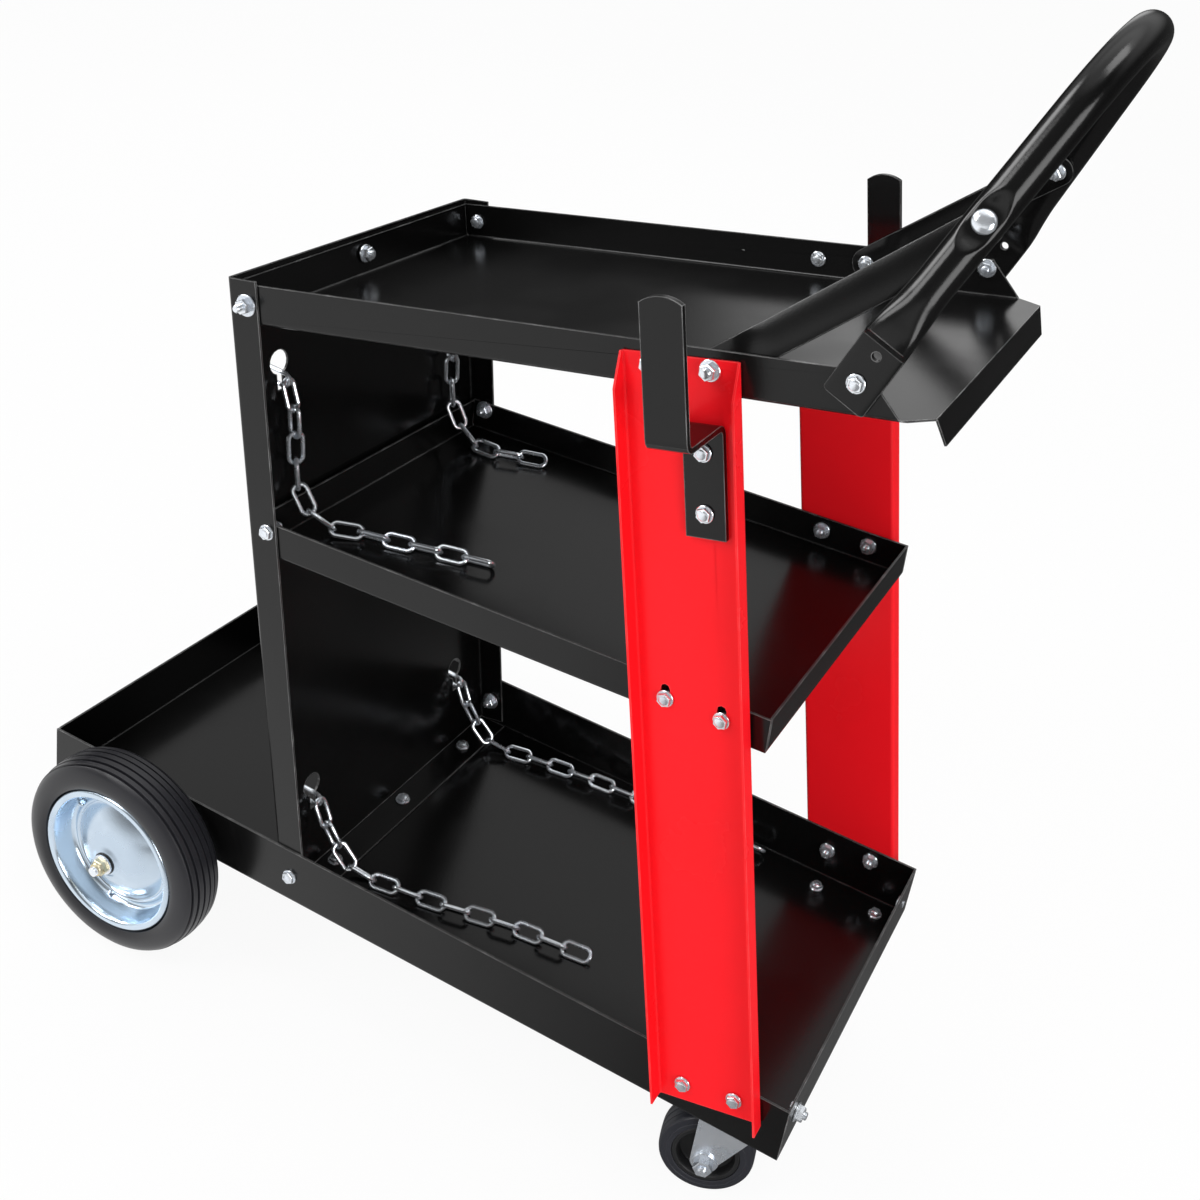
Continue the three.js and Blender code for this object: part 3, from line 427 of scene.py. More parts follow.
# %% A smooth line and its links
def smooth_line(points, steps=80):
    """A line through the points whose speed follows the root of their spacing, so it never loops."""
    ends = [2 * points[0] - points[1], *points, 2 * points[-1] - points[-2]]
    line = []
    for p0, p1, p2, p3 in zip(ends, ends[1:], ends[2:], ends[3:]):
        d0, d1, d2 = ((b - a).length ** 0.5 for a, b in ((p0, p1), (p1, p2), (p2, p3)))
        t1 = ((p1 - p0) / d0 - (p2 - p0) / (d0 + d1) + (p2 - p1) / d1) * d1
        t2 = ((p2 - p1) / d1 - (p3 - p1) / (d1 + d2) + (p3 - p2) / d2) * d1
        for k in range(steps):
            t = k / steps
            line.append(
                p1 + t1 * t + (3 * (p2 - p1) - 2 * t1 - t2) * t**2 + (2 * (p1 - p2) + t1 + t2) * t**3
            )
    return [*line, points[-1]]


def link_mesh(around=28, section=10):
    """One welded link, long in X, flat in Z."""
    bend, half = (LINK_WIDTH - LINK_WIRE) / 2, (LINK_LENGTH - LINK_WIDTH) / 2
    points, faces = [], []
    for i in range(around):
        a = math.tau * (i + 0.5) / around
        out = Vector((math.cos(a), math.sin(a), 0))
        middle = out * bend + Vector((math.copysign(half, out.x), 0, 0))
        for j in range(section):
            b = math.tau * j / section
            points.append(middle + LINK_WIRE / 2 * (out * math.cos(b) + Vector((0, 0, math.sin(b)))))
    for i in range(around):
        for j in range(section):
            a, b = i * section, (i + 1) % around * section
            n = (j + 1) % section
            faces.append([a + j, b + j, b + n, a + n])
    return points, faces


def ease(value, low, high):
    t = min(max((value - low) / (high - low), 0.0), 1.0)
    return t * t * (3 - 2 * t)


def link_places(line, count):
    """A matrix for each link, and the points where the links meet."""
    places, joints, k = [], [line[0]], 0
    for i in range(count):
        while (line[k] - joints[-1]).length < LINK_PITCH * MM:
            k += 1
        along = (line[k] - joints[-1]).normalized()
        sideways = (Vector((0, 1, 0)) - along * along.y).normalized()
        basis = Matrix((along, sideways, along.cross(sideways))).transposed().to_4x4()
        roll = (0 if i % 2 else math.pi / 2) + math.pi / 4 * ease(i, 1, 4)
        middle = Matrix.Translation((line[k] + joints[-1]) / 2)
        places.append(middle @ basis @ Matrix.Rotation(roll, 4, "X") @ Matrix.Scale(MM, 4))
        joints.append(line[k])
    return places, joints


# %% The four chains
for name, (count, hanging, floor, lying) in ROUTES.items():
    line = smooth_line([*hanging, *(laid(floor, *spot) for spot in lying)])
    places, joints = link_places(line, count)
    links = gather(*(moved(link_mesh(), place) for place in places))
    made = piece(name + "_links", links, zinc, stands_for=[name])

# %% [markdown]
# ## Folded sheet
# Trays, panel, uprights and hooks are bent sheet and flat bar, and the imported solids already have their
# folds, slots and holes. Modelling them again would only risk a misfit, so they stay, and modifiers do the
# rest: flat faces are merged, sharp edges get a small round that catches the light, and normals are evened.

# %% Dress the sheet pieces
SHEET_PIECES = {
    black_coat: ["bottom_tray", "middle_shelf", "top_tray", "rear_panel"]
    + [n + s for n in ("cable_hook_", "axle_bracket_") for s in SIDES],
    red_coat: ["upright_" + s for s in SIDES],
    zinc: ["caster_plate_" + s for s in SIDES],
}
for coat, names in SHEET_PIECES.items():
    for name in names:
        made = nodes[name]
        made.data.materials.clear()
        made.data.materials.append(coat)
        made.data.shade_smooth()
        merge = made.modifiers.new("flat_faces", "DECIMATE")
        merge.decimate_type = "DISSOLVE"
        merge.angle_limit = math.radians(1)
        soften(made, 0.35)
    print(coat.name, "on", len(names), "sheet pieces")

# %% [markdown]
# ## Bolts and nuts
# The cart is bolted together with zinc M6 hardware: flanged hex heads on the uprights, and washers, nuts
# and bare thread where the bolt comes out. A plain cylinder would read as a rivet, so each is put together
# from turned profiles: a six-sided block with its corners broken, a flange, a washer and a ridged thread.


# %% Fastener shapes, along +Y from the face they bear on
def hex_block(flats, low, high):
    corner = flats / 2 / math.cos(math.pi / 6)
    rings = [(0, low), (corner, low), (corner, high - 0.7), (corner * 0.9, high), (0, high)]
    return revolve(rings, 6)


def disc(radius, low, high, soft=0.35):
    edge = [(radius - soft, low), (radius, low + soft), (radius, high - soft), (radius - soft, high)]
    return revolve([(0, low), *edge, (0, high)], 32)


def thread(radius, low, high, pitch=1.0):
    rings = [(0, low)]
    along = low
    while along < high - pitch:
        rings += [(radius, along), (radius, along + pitch * 0.3), (radius * 0.86, along + pitch * 0.65)]
        along += pitch
    return revolve([*rings, (radius, along), (radius * 0.72, high), (0, high)], 20)


def hex_head():
    crown = [(0, 3.2), (4.1, 3.2), (3.4, 3.9), (2, 4.3), (0, 4.45)]
    return gather(disc(6.2, 0, 1.3), hex_block(9.4, 1.1, 3.7), revolve(crown, 24))


def washer_and_nut(tip, washer=7.2):
    top = 6.2
    return gather(disc(washer, 0, 1.3), hex_block(10, 1.2, top), thread(3, top - 1, top + tip))


def plain_nut(tip):
    return gather(hex_block(10, 0, 5), thread(3, 4, 5 + tip))


def aimed(spot, outward):
    """A place whose +Y looks outward, for points in millimetres."""
    turn = Vector((0, 1, 0)).rotation_difference(Vector(outward)).to_matrix().to_4x4()
    return Matrix.Translation(spot) @ turn @ Matrix.Scale(MM, 4)


FLIP = Matrix.Rotation(math.pi, 4, "Z")
TIP = 2.5  # thread that shows past a nut


def fastener(outer, grip, inner):
    """A bolt through a grip: one end shape outside at 0, another inside, and the shank between."""
    back = moved(moved(inner, FLIP), Matrix.Translation((0, -grip, 0)))
    return gather(outer, back, disc(3, -grip - 2, 1))


# %% Bolts that stand for packed ones
HEAD_HEIGHT, NUT_AND_TIP = 3.6, 9
NUT_OUTSIDE = ("upright_top_bolt", "upright_brace_bolt")
made_count = 0
for name in sorted(nodes):
    if "_bolt_" not in name or name.startswith("brace_bolt"):
        continue
    low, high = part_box(name)
    side = -1 if name.endswith("near") else 1
    across = (high.y - low.y) / MM
    spot = (low + high) / 2
    spot.y = (low.y if side < 0 else high.y) - side * HEAD_HEIGHT * MM
    outer = washer_and_nut(TIP) if name.startswith(NUT_OUTSIDE) else hex_head()
    inner = hex_head() if name.startswith(NUT_OUTSIDE) else washer_and_nut(TIP)
    whole = fastener(outer, across - HEAD_HEIGHT - NUT_AND_TIP, inner)
    piece(name + "_steel", whole, zinc, aimed(spot, (0, side, 0)), stands_for=[name])
    made_count += 1
print(made_count, "bolts in place of packed ones")

# %% [markdown]
# The panel is held by its side flanges to both trays and the shelf, with the top nut outside, and by three
# bolts through its foot. The casters hang from the tray floor. These fasteners are too small for the packed
# model, so they are added here, each seated on the sheet that carries it.

# %% Fasteners that only show
PANEL_SIDE_BOLTS = ((172, 499, 141.4), (203, 327, 141.4), (250, 25, 145.0))  # x, z, outer face
WIDE_WASHER = 8.2
CASTER_AT = (640, 105)
FRONT_LIP = (690, 122, 28)
PANEL_FOOT_BOLTS = [(254, y, 3.3) for y in (-92, 0, 92)]
TOP_RISE = math.radians(11.6)


def through(name, spots, outward, grip, outer, inner):
    """One piece with a fastener at every spot, given in tray millimetres."""
    one = fastener(outer, grip, inner)
    whole = [moved(one, aimed(seat(*spot).translation, outward)) for spot in spots]
    piece(name, gather(*whole), zinc)
    print(name, len(whole))


for end, side in SIDES.items():
    for i, (x, z, face) in enumerate(PANEL_SIDE_BOLTS):
        spot = (x, side * (face if i == 2 else face + 1.8), z)
        ends = (hex_head(), washer_and_nut(4, WIDE_WASHER))
        if i == 0:
            ends = (washer_and_nut(5, WIDE_WASHER), hex_head())
        through(f"panel_side_bolt_{i + 1}_{end}", [spot], (0, side, 0), 3.8, *ends)
    x, y = CASTER_AT
    corners = [(x + a, side * (y + 20), SHEET) for a in (-28.5, 28.5)]
    through(f"caster_plate_bolts_{end}", corners, (0, 0, 1), 4.5, hex_head(), plain_nut(3))
    front = [(FRONT_LIP[0], side * FRONT_LIP[1], FRONT_LIP[2])]
    shown = washer_and_nut(TIP) if side < 0 else disc(3.2, 0, 0.9)
    through(f"front_lip_bolt_{end}", front, (1, 0, 0), SHEET, shown, hex_head())
through("panel_foot_bolts", PANEL_FOOT_BOLTS, (0, 0, 1), 3.3, hex_head(), plain_nut(3))
rear_lip = ((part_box("top_tray")[0].x - TRAY.x) / MM + SHEET + 3.5, 0, 500)
lip_way = (math.cos(TOP_RISE), 0, math.sin(TOP_RISE))
through("top_tray_rear_bolt", [rear_lip], lip_way, 5.6, washer_and_nut(TIP), hex_head())

# %% [markdown]
# ## Handle and braces
# The handle is one black tube. Its legs lean in to a round bend at the top, its ends are pressed flat
# against the tray, and each leg has a dimple where the brace bolt pulls the wall in. A curve with a bevel
# could give the tube but not the pressed ends, so rings are drawn along its middle line: each ring eases
# from a flat plate to a circle, and its outer side is pushed in at the dimple.

# %% The line of the handle
LEG_Y, FOOT_LOW, FOOT_HALF, KINK = 143.7, -16.0, 15.0, 33.0
LEAN, TAPER, BEND, TUBE = 21.9, 24.6, 82.0, 12.5
low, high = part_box("handle_bolt_near")
HANDLE = Matrix.Translation(((low.x + high.x) / 2, 0, (low.z + high.z) / 2))
HANDLE = HANDLE @ Matrix.Rotation(math.radians(LEAN), 4, "Y") @ Matrix.Scale(MM, 4)
taper = math.radians(TAPER)
bend_up = KINK + (LEG_Y * math.cos(taper) - BEND) / math.sin(taper)
leg_length = (bend_up + BEND * math.sin(taper) - KINK) / math.cos(taper)


def leg_spot(along, inward=0.0):
    """(y, up) on the near leg, counted along it from the kink, and off it towards the middle."""
    y = -LEG_Y + along * math.sin(taper) + inward * math.cos(taper)
    return Vector((y, KINK + along * math.cos(taper) - inward * math.sin(taper)))


SOFT = 12  # half the length of the curve that softens the kink
plate = [Vector((-LEG_Y, FOOT_LOW + d)) for d in (0, 0.8, 2, 4, 7, 12, 20, 28)]
start, corner, stop = Vector((-LEG_Y, KINK - SOFT)), leg_spot(0), leg_spot(SOFT)
knee = []
for t in (k / 16 for k in range(17)):
    knee.append(start * (1 - t) ** 2 + corner * 2 * t * (1 - t) + stop * t**2)
leg = [leg_spot(SOFT + (leg_length - SOFT) * k / 90) for k in range(1, 91)]
arc = []
for k in range(1, 33):
    a = (math.pi / 2 - taper) * (1 - k / 32)
    arc.append(Vector((-BEND * math.sin(a), bend_up + BEND * math.cos(a))))
half_line = [*plate, *knee, *leg, *arc]
handle_line = half_line + [Vector((-p.x, p.y)) for p in half_line[-2::-1]]
print(len(handle_line), "rings, top at", round(bend_up + BEND, 1), "mm over the foot bolt")

# %% The rings of the handle
DIMPLE_AT, DIMPLE_DEPTH = 86.0, 4.0
DIMPLE_FLAT, DIMPLE_RIM = 8.5, 24.0  # radii of its floor and of its rim
RING = 44


def handle_ring(i):
    """The section at a point of the line: flat at the foot, round on the leg, dented at the bolt."""
    p = handle_line[i]
    ahead, behind = handle_line[min(i + 1, len(handle_line) - 1)], handle_line[max(i - 1, 0)]
    run = (ahead - behind).normalized()
    out = Vector((-run.y, run.x))  # away from the middle of the loop
    foot = p.y - FOOT_LOW
    wide = FOOT_HALF + (TUBE - FOOT_HALF) * ease(foot, 42, 90)
    inner = 2 + (TUBE - 2) * ease(foot, 38, 76)
    outer = 2 + 6.5 * ease(foot, 44.5, 49) + (TUBE - 8.5) * ease(foot, 48, 80)
    power = 0.2 + 0.35 * ease(foot, 44, 50) + 0.45 * ease(foot, 50, 74)
    corner = min(foot / 2.5, 1.0)
    wide -= 2.5 * (1 - math.sqrt(1 - (1 - corner) ** 2))
    along = (Vector((-abs(p.x), p.y)) - leg_spot(0)).dot(leg_spot(1) - leg_spot(0))
    ring = []
    for k in range(RING):
        a = math.tau * k / RING
        c, s = math.cos(a), math.sin(a)
        x = math.copysign(abs(c) ** power, c) * wide
        w = math.copysign(abs(s) ** power, s) * (outer if s > 0 else inner)
        dent = ease(math.hypot(along - DIMPLE_AT, x), DIMPLE_RIM, DIMPLE_FLAT)
        level, soft = TUBE - DIMPLE_DEPTH * dent, 3 * dent + 0.01
        w = min(w, level) - max(soft - abs(w - level), 0) ** 2 / soft / 4  # no crease where they meet
        q = p + out * w
        ring.append(Vector((x, q.x, q.y)))
    return ring


tube = loft([handle_ring(i) for i in range(len(handle_line))])
handle = piece("handle_tube", tube, black_coat, HANDLE, stands_for=["handle"])
print(len(handle.data.polygons), "faces in the handle")

# %% Holes through the pressed ends
SPARE_HOLE = 21.5
bits = gather(*(disc(2.9, *ends) for ends in ((-160, -130), (130, 160))))
drill = mesh_object("hole_drill", moved(bits, HANDLE @ Matrix.Translation((0, 0, SPARE_HOLE))))
cut = handle.modifiers.new("holes", "BOOLEAN")
cut.object = drill
bpy.context.view_layer.update()
shaped = bpy.data.meshes.new_from_object(handle.evaluated_get(bpy.context.evaluated_depsgraph_get()))
handle.modifiers.clear()
shaped.set_sharp_from_angle(angle=math.radians(35))
handle.data = shaped
handle.modifiers.new("even_normals", "WEIGHTED_NORMAL").keep_sharp = True
bpy.data.objects.remove(drill)
print(len(handle.data.polygons), "faces with the spare holes")

# %% [markdown]
# Each brace is flat bar: a short tab lies on the inside of the lip, then the bar bends and twists to lie
# on the inner side of the leaning leg. Rings with rounded corners follow that line, and the two ends are
# drawn in to half circles.

# %% Braces
BAR_HALF, BAR_THICK, TAB = 12.0, 3.0, 32.0
BAR_BEND, BAR_SOFT = 13, 0.6  # half the length of the bend, and the round of its corners
BRACE_Y = 138.1
low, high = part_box("upright_brace_bolt_near")
foot = Vector(((low.x + high.x) / 2, -BRACE_Y * MM, (low.z + high.z) / 2))


def on_leg(along, inward):
    y, rise = leg_spot(along, inward)
    return HANDLE @ Vector((0, y, rise))


top = on_leg(DIMPLE_AT, TUBE + 0.3 + BAR_THICK / 2)
leg_out = (on_leg(0, 1) - on_leg(0, 0)).normalized()
tab_way = Vector((top.x - foot.x, 0, top.z - foot.z)).normalized()
turning = foot + tab_way * TAB * MM
bar_way = (top - turning).normalized()
bar_length = (top - turning).length / MM
stations = [-BAR_HALF + BAR_HALF * (1 - math.cos(math.pi / 2 * k / 6)) for k in range(7)]
stations += [8, 16, *range(20, 46, 2), *(TAB + 16 + (bar_length - 16) * k / 12 for k in range(13))]
stations += [TAB + bar_length + BAR_HALF * math.sin(math.pi / 2 * k / 6) for k in range(1, 7)]


def brace_ring(d):
    """The section of the bar at a distance from its foot: on the tab, in the bend, or on the bar."""
    t = ease(d, TAB - BAR_BEND, TAB + BAR_BEND)
    bent = max(0.0, d - TAB)
    if abs(d - TAB) <= BAR_BEND:
        bent = (d - TAB + BAR_BEND) ** 2 / (4 * BAR_BEND)
    middle = foot + tab_way * (d - bent) * MM + bar_way * bent * MM
    way = tab_way.lerp(bar_way, t).normalized()
    face = Vector((0, 1, 0)).lerp(leg_out, t)
    face = (face - way * face.dot(way)).normalized()
    edge = way.cross(face)
    past = max(-d, d - TAB - bar_length, 0.0)
    half = max(math.sqrt(max(BAR_HALF**2 - past**2, 0)), BAR_SOFT) - BAR_SOFT
    ring = []
    for a, b in ((1, 1), (-1, 1), (-1, -1), (1, -1)):
        turn = [(BAR_SOFT, 0), (0.4, 0.4), (0, BAR_SOFT)]
        for u, v in turn if a * b > 0 else turn[::-1]:
            flat = edge * a * (half + u) + face * b * (BAR_THICK / 2 - BAR_SOFT + v)
            ring.append(middle + flat * MM)
    return ring


brace = loft([brace_ring(d) for d in stations])
mirrored = ([Vector((p.x, -p.y, p.z)) for p in brace[0]], brace[1])
for end, part in (("near", brace), ("far", mirrored)):
    made = piece(f"brace_bar_{end}", part, black_coat, stands_for=[f"brace_{end}"])
    print(made.name, len(made.data.polygons), "faces")

# %% Bolts of the braces
DOME = [(0, 0), (7.4, 0), (7.6, 0.5), (7.5, 1.2), (6.6, 2.5), (5, 3.4), (2.6, 3.9), (0, 4)]
for end, side in SIDES.items():
    spot = on_leg(DIMPLE_AT, DIMPLE_DEPTH - TUBE)
    way = -leg_out
    if side > 0:
        spot, way = (Vector((v.x, -v.y, v.z)) for v in (spot, way))
    grip = 2 * TUBE - DIMPLE_DEPTH + 0.3 + BAR_THICK
    whole = fastener(revolve(DOME, 40), grip, washer_and_nut(TIP))
    piece(f"brace_bolt_{end}_steel", whole, zinc, aimed(spot, way), stands_for=[f"brace_bolt_{end}"])
print("brace bolts with a grip of", grip)

# %% [markdown]
# ## Rear wheels
# Each wheel is a solid rubber tyre on a pressed zinc rim, on a plain axle with a lock nut. The tyre has a
# round shoulder and ribs that run round the tread. The rim is one dished sheet: a rolled edge, a wide well,
# a thin raised ring and a domed disc. All of that turns on one axis, so profiles do the whole job.

# %% Profiles of the wheel, as (radius, outward)
TYRE_HALF = [
    (65.9, 16.6), (66.6, 18.2), (68.8, 19.5), (72, 20), (75, 19.9), (79, 19.2), (82.4, 17.9), (84.8, 16.2),
    (86.0, 14.7), (84.8, 14.4), (84.7, 13.2), (87.2, 12.8), (87.7, 9.6), (86.1, 9.3), (86.0, 8.1),
    (88.4, 7.7), (88.7, 3.9), (87.1, 3.6), (87.1, 2.4), (89, 2.0), (89, 0.9),
]
RIM_FRONT = [
    (4.4, 19.8), (9.8, 19.8), (11.2, 19.4), (12.4, 18.0), (16, 16.9), (20, 16.0), (25, 14.4), (30, 12.1),
    (35, 9.2), (40, 5.6), (43.5, 2.7), (45.4, 1.2), (46.4, 1.3), (47.0, 2.2), (47.9, 2.9), (49.0, 2.8),
    (49.8, 2.0), (50.3, 0.6), (51.4, -0.6), (53.2, -0.9), (55.0, 0.2), (56.4, 2.8), (57.4, 7.0),
    (58.0, 12.0), (58.4, 15.8), (59.0, 17.6), (60.2, 18.8), (61.8, 19.2), (63.4, 18.9), (64.7, 18.0),
    (65.4, 16.4),
]
RIM_BACK = [
    (65.4, -16.4), (64.7, -18.0), (63.4, -18.9), (61.8, -19.2), (60.4, -18.7), (59.8, -17.2), (59.6, -8.0),
    (58.4, -4.4), (55.6, -2.8), (51.6, -2.6), (46, -1.0), (43.5, 0.6), (40, 3.4), (35, 7.0), (30, 9.9),
    (25, 12.2), (20, 13.8), (14, 14.6), (11, 14.6), (11, -19.6), (10.2, -20.6), (4.4, -20.6),
]
SEAL = [(4.5, 19.6), (9.6, 19.6), (9.8, 19.9), (9.8, 20.7), (9.5, 21.0), (4.5, 21.0)]
NUT_COLLAR = [(0, 27.2), (5.9, 27.2), (6, 28.6), (5.4, 29.7), (4.4, 30.1), (0, 30.1)]
LUG = [(0, 4.2), (0.35, 3.9), (0.7, 2.9), (0.92, 1.4), (1, 0), (1, -1), (0, -1)]
LUG_SIZE = (4.6, 1, 2.6, 1)
LUG_ANGLES = (152, 25, -102)  # pressed lugs beside the ring
WHEEL_AT = (101, 169, -9)


def mirrored_profile(half):
    return [*half, *((r, -y) for r, y in reversed(half))]


print(len(RIM_FRONT + RIM_BACK), "points in the profile of the rim")


# %% Wheels
for end, side in SIDES.items():
    x, y, z = WHEEL_AT
    place = seat(x, side * y, z) @ Matrix.Scale(side, 4, (0, 1, 0))
    body = f"rear_wheel_{end}"
    tyre = revolve(mirrored_profile(TYRE_HALF), 120)
    piece(f"rear_tyre_{end}_rubber", tyre, tyre_rubber, place, body, [f"rear_tyre_{end}"], sharp=28)
    lugs = []
    for a in LUG_ANGLES:
        spot = Matrix.Rotation(-math.radians(a), 4, "Y") @ Matrix.Translation((53, -0.6, 0))
        lugs.append(moved(revolve(LUG, 24), spot @ Matrix.Diagonal(LUG_SIZE)))
    rim = gather(revolve(RIM_FRONT + RIM_BACK, 96), *lugs)
    piece(f"rear_rim_{end}_dish", rim, rim_zinc, place, body, [f"rear_rim_{end}"], sharp=50)
    piece(f"rear_hub_{end}_seal", revolve(SEAL, 48), hub_plastic, place, body)
    piece(f"axle_washer_{end}_ring", disc(9, 21.3, 22.9), zinc, place, stands_for=[f"axle_washer_{end}"])
    nut = gather(hex_block(13, 23.1, 27.6), revolve(NUT_COLLAR, 40))
    piece(f"axle_nut_{end}_lock", nut, yellow_zinc, place, stands_for=[f"axle_nut_{end}"])
collars = [disc(8, *ends) for ends in ((-147.6, -144.6), (144.6, 147.6))]
tip = thread(4, 188, 202.4, 1.25)
axle = gather(disc(4, -190, 190), *collars, tip, moved(tip, Matrix.Scale(-1, 4, (0, 1, 0))))
piece("rear_axle_rod", axle, zinc, seat(WHEEL_AT[0], 0, WHEEL_AT[2]), stands_for=["rear_axle"])
print("two wheels,", len(LUG_ANGLES), "lugs each")

# %% [markdown]
# ## Casters
# A swivel caster is a top plate, a ball race, a pressed fork, and a rubber wheel on a through bolt. The
# fork is one sheet folded to a U and cut to a slanting leg, so it is drawn as a strip of cross lines that
# goes up one leg, over the crown and down the other, and a Solidify modifier gives it its thickness.

# %% Fork strip
FORK_Y, FORK_TOP, FORK_BEND, FORK_SHEET = 16.1, 88.2, 5.0, 3.0
AXLE_BACK, AXLE_UP, FORK_END = -12.0, 37.5, 11.0
SHOULDER = 75.7  # where the slanting edge of the leg starts


def fork_edges(z):
    """Rear and front edge of the leg at a height."""
    if z < AXLE_UP:
        half = math.sqrt(max(FORK_END**2 - (AXLE_UP - z) ** 2, 1.0))
        return AXLE_BACK - half, AXLE_BACK + half
    t = min((z - AXLE_UP) / (SHOULDER - AXLE_UP), 1.0)
    return -23.0, AXLE_BACK + FORK_END + t * (23.0 - AXLE_BACK - FORK_END)


heights = [AXLE_UP - FORK_END * math.cos(math.pi / 2 * k / 8) for k in range(8)]
heights += [AXLE_UP + (FORK_TOP - FORK_BEND - AXLE_UP) * k / 12 for k in range(13)]
leg_rows = [(-FORK_Y, z) for z in heights]
for k in range(1, 7):
    a = math.pi / 2 * k / 6
    leg_rows.append((-FORK_Y + FORK_BEND * (1 - math.cos(a)), FORK_TOP - FORK_BEND * (1 - math.sin(a))))
rows = leg_rows + [(0.0, FORK_TOP)] + [(-y, z) for y, z in reversed(leg_rows)]
COLUMNS = 9
strip, quads = [], []
for y, z in rows:
    left, right = fork_edges(z)
    strip += [Vector((left + (right - left) * k / (COLUMNS - 1), y, z)) for k in range(COLUMNS)]
for i in range(len(rows) - 1):
    for k in range(COLUMNS - 1):
        a = i * COLUMNS + k
        quads.append([a, a + 1, a + 1 + COLUMNS, a + COLUMNS])
print(len(quads), "faces in a fork strip")

# %% Caster pieces
UPRIGHT = Matrix.Rotation(math.pi / 2, 4, "X")
CASTER_TURN = 15  # degrees, as the casters stand at rest
RACE = [
    (5.6, 88.6), (20.6, 88.6), (22.4, 89.6), (23, 91.0), (22.4, 92.4), (21.2, 93.0), (21.4, 94.0),
    (20.8, 94.6), (5.6, 94.6),
]
PIN = [(0, 81.8), (6.4, 82), (8.4, 83.2), (9, 84.8), (8.6, 86.2), (5, 86.2), (5, 97.9), (0, 97.9)]
CASTER_TYRE = [
    (26.8, 11.6), (27.4, 12.0), (30.6, 12.0), (31.0, 11.7), (31.4, 12.0), (34.2, 11.9), (35.8, 11.2),
    (36.7, 9.9), (37.2, 8.0), (37.35, 6.0), (36.9, 5.8), (36.9, 5.2), (37.4, 5.0), (37.5, 1.2),
    (37.0, 1.0), (37.0, 0.4),
]
CASTER_HUB = [
    (4.4, 13.9), (8.4, 13.9), (9.0, 13.3), (9.2, 5.2), (10.2, 4.2), (19.4, 4.0), (21.0, 5.0), (22.0, 8.6),
    (22.6, 11.0), (23.2, 11.7), (25.8, 11.7), (26.5, 11.2),
]
AXLE_NUT = gather(disc(9.4, 0, 1.6), hex_block(13, 1.5, 8), thread(4, 7, 10.4, 1.25))
for end, side in SIDES.items():
    x, y = CASTER_AT
    straight = seat(x, side * y, -TRAY.z / MM)
    place = seat(x, side * y, -TRAY.z / MM, 0, CASTER_TURN)
    wheel = place @ Matrix.Translation((AXLE_BACK, 0, AXLE_UP))
    swivel, rolling = f"caster_swivel_{end}", f"caster_wheel_{end}"
    stood = [f"caster_fork_{end}"]
    fork = piece(f"caster_fork_{end}_sheet", (strip, quads), zinc, place, swivel, stood)
    solid = fork.modifiers.new("sheet", "SOLIDIFY")
    solid.thickness = FORK_SHEET * MM
    solid.offset = 0
    soften(fork, 0.5)
    piece(f"caster_race_{end}", revolve(RACE, 64), zinc, place @ UPRIGHT, swivel)
    pin, stood = revolve(PIN, 40), [f"caster_kingpin_{end}"]
    piece(f"caster_kingpin_{end}_rivet", pin, zinc, straight @ UPRIGHT, stands_for=stood)
    tyre, stood = revolve(mirrored_profile(CASTER_TYRE), 96), [f"caster_tyre_{end}"]
    piece(f"caster_tyre_{end}_rubber", tyre, caster_rubber, wheel, rolling, stood, sharp=28)
    hub = revolve(mirrored_profile(CASTER_HUB), 72)
    piece(f"caster_hub_{end}_moulding", hub, hub_plastic, wheel, rolling, [f"caster_hub_{end}"])
    outside = FORK_Y + FORK_SHEET / 2
    bolt = fastener(AXLE_NUT, 2 * outside, hex_block(13, 0, 5))
    bolt = gather(bolt, disc(4, -2 * outside - 1, 1))
    bolt = moved(bolt, Matrix.Translation((0, -outside, 0)) @ Matrix.Scale(-1, 4, (0, 1, 0)))
    piece(f"caster_axle_{end}_bolt", bolt, zinc, wheel, swivel, [f"caster_axle_{end}"])
print("two casters")

# %% [markdown]
# ## Studio
# The cart stands on a plain pale floor in soft light. A white background could be had by flooding the
# scene with light, but that would bleach the paint, so the floor and the sky look white only to the
# camera, and light the cart at an ordinary level. What the paint mirrors fades out to the far side and to
# the handle end, and two soft glows give the tray and the handle their highlights.

# %% Floor
FLOOR_HALF = 40.0
GLOW_SHARE = 0.93  # the rest is lit floor, which keeps the shadow
mesh = bpy.data.meshes.new("studio_floor")
corners = [(a * FLOOR_HALF, b * FLOOR_HALF, 0) for a, b in ((-1, -1), (1, -1), (1, 1), (-1, 1))]
mesh.from_pydata(corners, [], [(0, 1, 2, 3)])
floor = bpy.data.objects.new("studio_floor", mesh)
bpy.context.collection.objects.link(floor)
pale = bpy.data.materials.new("pale_floor")
pale.use_nodes = True
tree = pale.node_tree
shader = tree.nodes["Principled BSDF"]
shader.inputs["Base Color"].default_value = (0.85, 0.85, 0.85, 1)
shader.inputs["Roughness"].default_value = 0.8
rays = node(tree, "ShaderNodeLightPath").outputs
spot = node(tree, "ShaderNodeTexCoord").outputs["Object"]
spot = node(tree, "ShaderNodeSeparateXYZ", {0: spot}).outputs
fade = spread(tree, spot["X"], -0.3, 0.4, 1.0, 0.1)
fade = calc(tree, "MULTIPLY", fade, spread(tree, spot["Y"], -0.2, 0.8, 1.0, 0.05))
level = spread(tree, rays["Is Glossy Ray"], 0.0, 1.0, 1.0, fade)
glow = node(tree, "ShaderNodeEmission", {"Color": (1, 1, 1, 1), "Strength": level}).outputs[0]
seen = calc(tree, "MAXIMUM", rays["Is Camera Ray"], rays["Is Glossy Ray"])
share = calc(tree, "MULTIPLY", seen, GLOW_SHARE)
both = node(tree, "ShaderNodeMixShader", {0: share, 1: shader.outputs[0], 2: glow}).outputs[0]
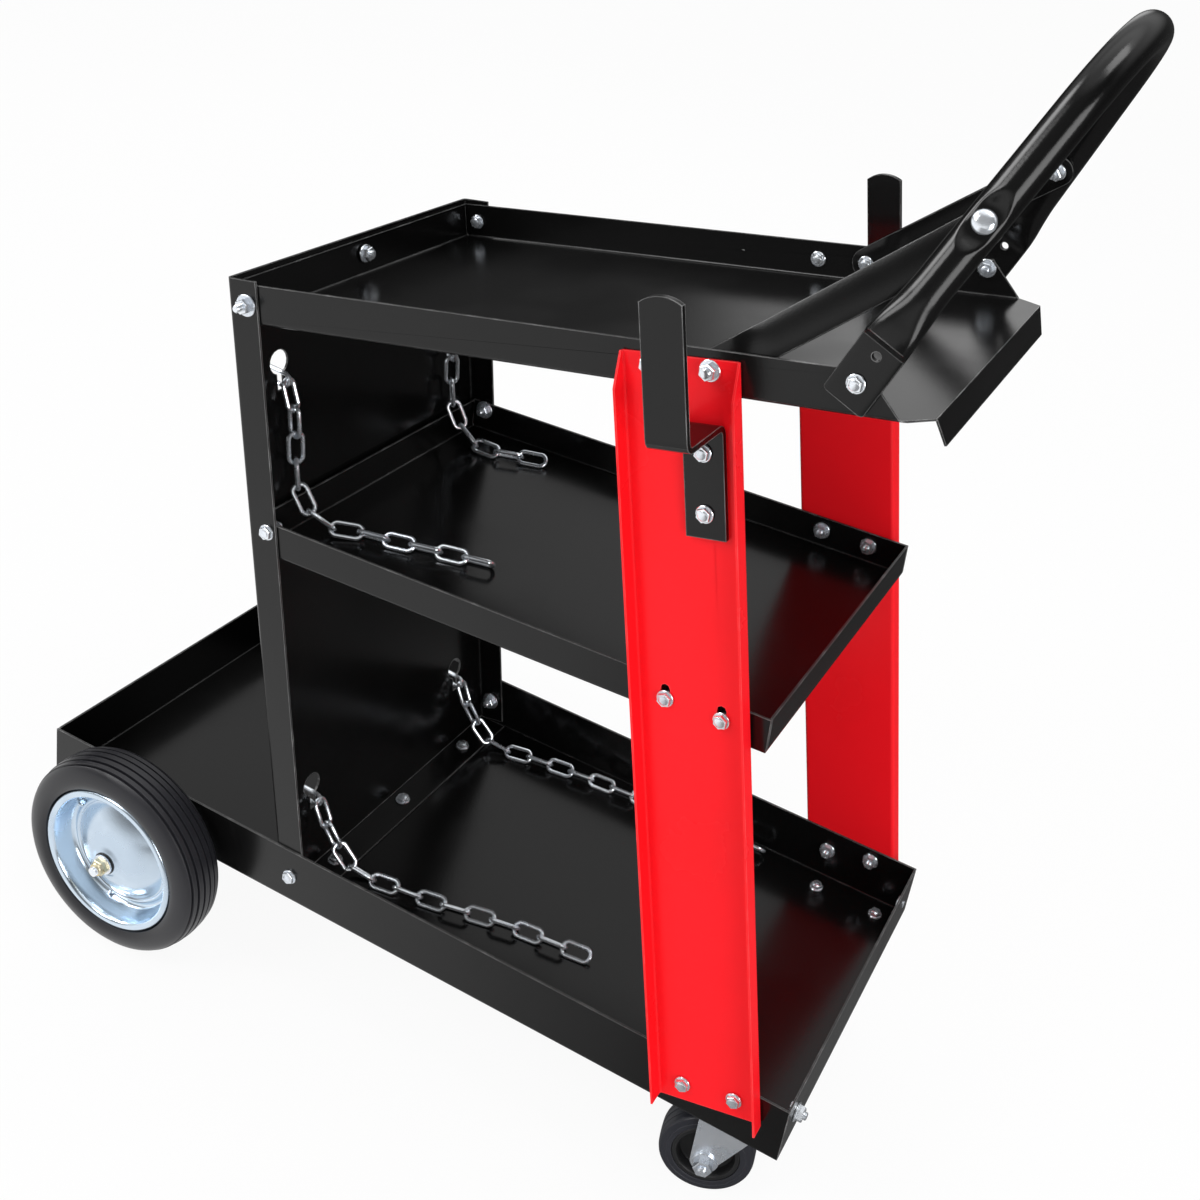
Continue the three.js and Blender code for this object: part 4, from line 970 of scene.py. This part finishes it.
tree.links.new(both, tree.nodes["Material Output"].inputs["Surface"])
mesh.materials.append(pale)
print("floor of", 2 * FLOOR_HALF, "metres")

# %% Sky
GLOWS = (((-0.307, 0.92, 0.235), 0.975, 1.2), ((-0.82, -0.11, 0.56), 0.95, 9.0))  # way, width, strength
sky = bpy.data.worlds.new("studio_sky")
bpy.context.scene.world = sky
sky.use_nodes = True
tree = sky.node_tree
rays = node(tree, "ShaderNodeLightPath").outputs
facing = node(tree, "ShaderNodeTexCoord").outputs["Generated"]
way = node(tree, "ShaderNodeSeparateXYZ", {0: facing}).outputs
near_sky = spread(tree, way["Z"], 0.02, 0.4, 0.9, 0.18)
near_sky = calc(tree, "MULTIPLY", near_sky, spread(tree, way["X"], 0.2, 0.8, 1.0, 0.15))
far_sky = spread(tree, way["Z"], 0.17, 0.65, 0.05, 0.75)
mirrored = spread(tree, way["Y"], -0.25, 0.25, near_sky, far_sky)
mirrored = calc(tree, "ADD", mirrored, spread(tree, way["Z"], 0.72, 0.92, 0.0, 0.8))
for aim, width, power in GLOWS:
    match = node(tree, "ShaderNodeVectorMath", {0: facing, 1: aim}, operation="DOT_PRODUCT").outputs[1]
    mirrored = calc(tree, "ADD", mirrored, spread(tree, match, width, 1.0, 0.0, power))
strength = spread(tree, rays["Is Glossy Ray"], 0.0, 1.0, 0.7, mirrored)
strength = spread(tree, rays["Is Camera Ray"], 0.0, 1.0, strength, 1.0)
tree.nodes["Background"].inputs["Color"].default_value = (1, 1, 1, 1)
tree.links.new(strength, tree.nodes["Background"].inputs["Strength"])
print("sky with", len(GLOWS), "soft glows")

# %% Lamps
LIT_MIDDLE = Vector((0, 0, 0.45))
LAMPS = {  # place in metres, size, watts
    "key_softbox": ((-1.5, -1.9, 2.3), 1.2, 30),
    "front_softbox": ((2.2, -1.3, 0.9), 1.2, 24),
    "top_softbox": ((0.9, -0.2, 2.6), 0.9, 12),
    "back_softbox": ((-1.2, 2.2, 2.0), 1.2, 10),
}
for name, (spot, size, watts) in LAMPS.items():
    light = bpy.data.lights.new(name, "AREA")
    light.size = size
    light.energy = watts
    lamp = bpy.data.objects.new(name, light)
    bpy.context.collection.objects.link(lamp)
    lamp.location = spot
    lamp.visible_glossy = name != "back_softbox"  # it only fills the far side
    lamp.rotation_euler = (LIT_MIDDLE - lamp.location).to_track_quat("-Z", "Y").to_euler()
bpy.context.scene.view_settings.view_transform = "Standard"
print(len(LAMPS), "lamps")

# %% [markdown]
# ## Finish
# The dressed cart must keep the imported model's size. The last line brings the scene up to date.

# %% Update the scene
bpy.context.view_layer.update()
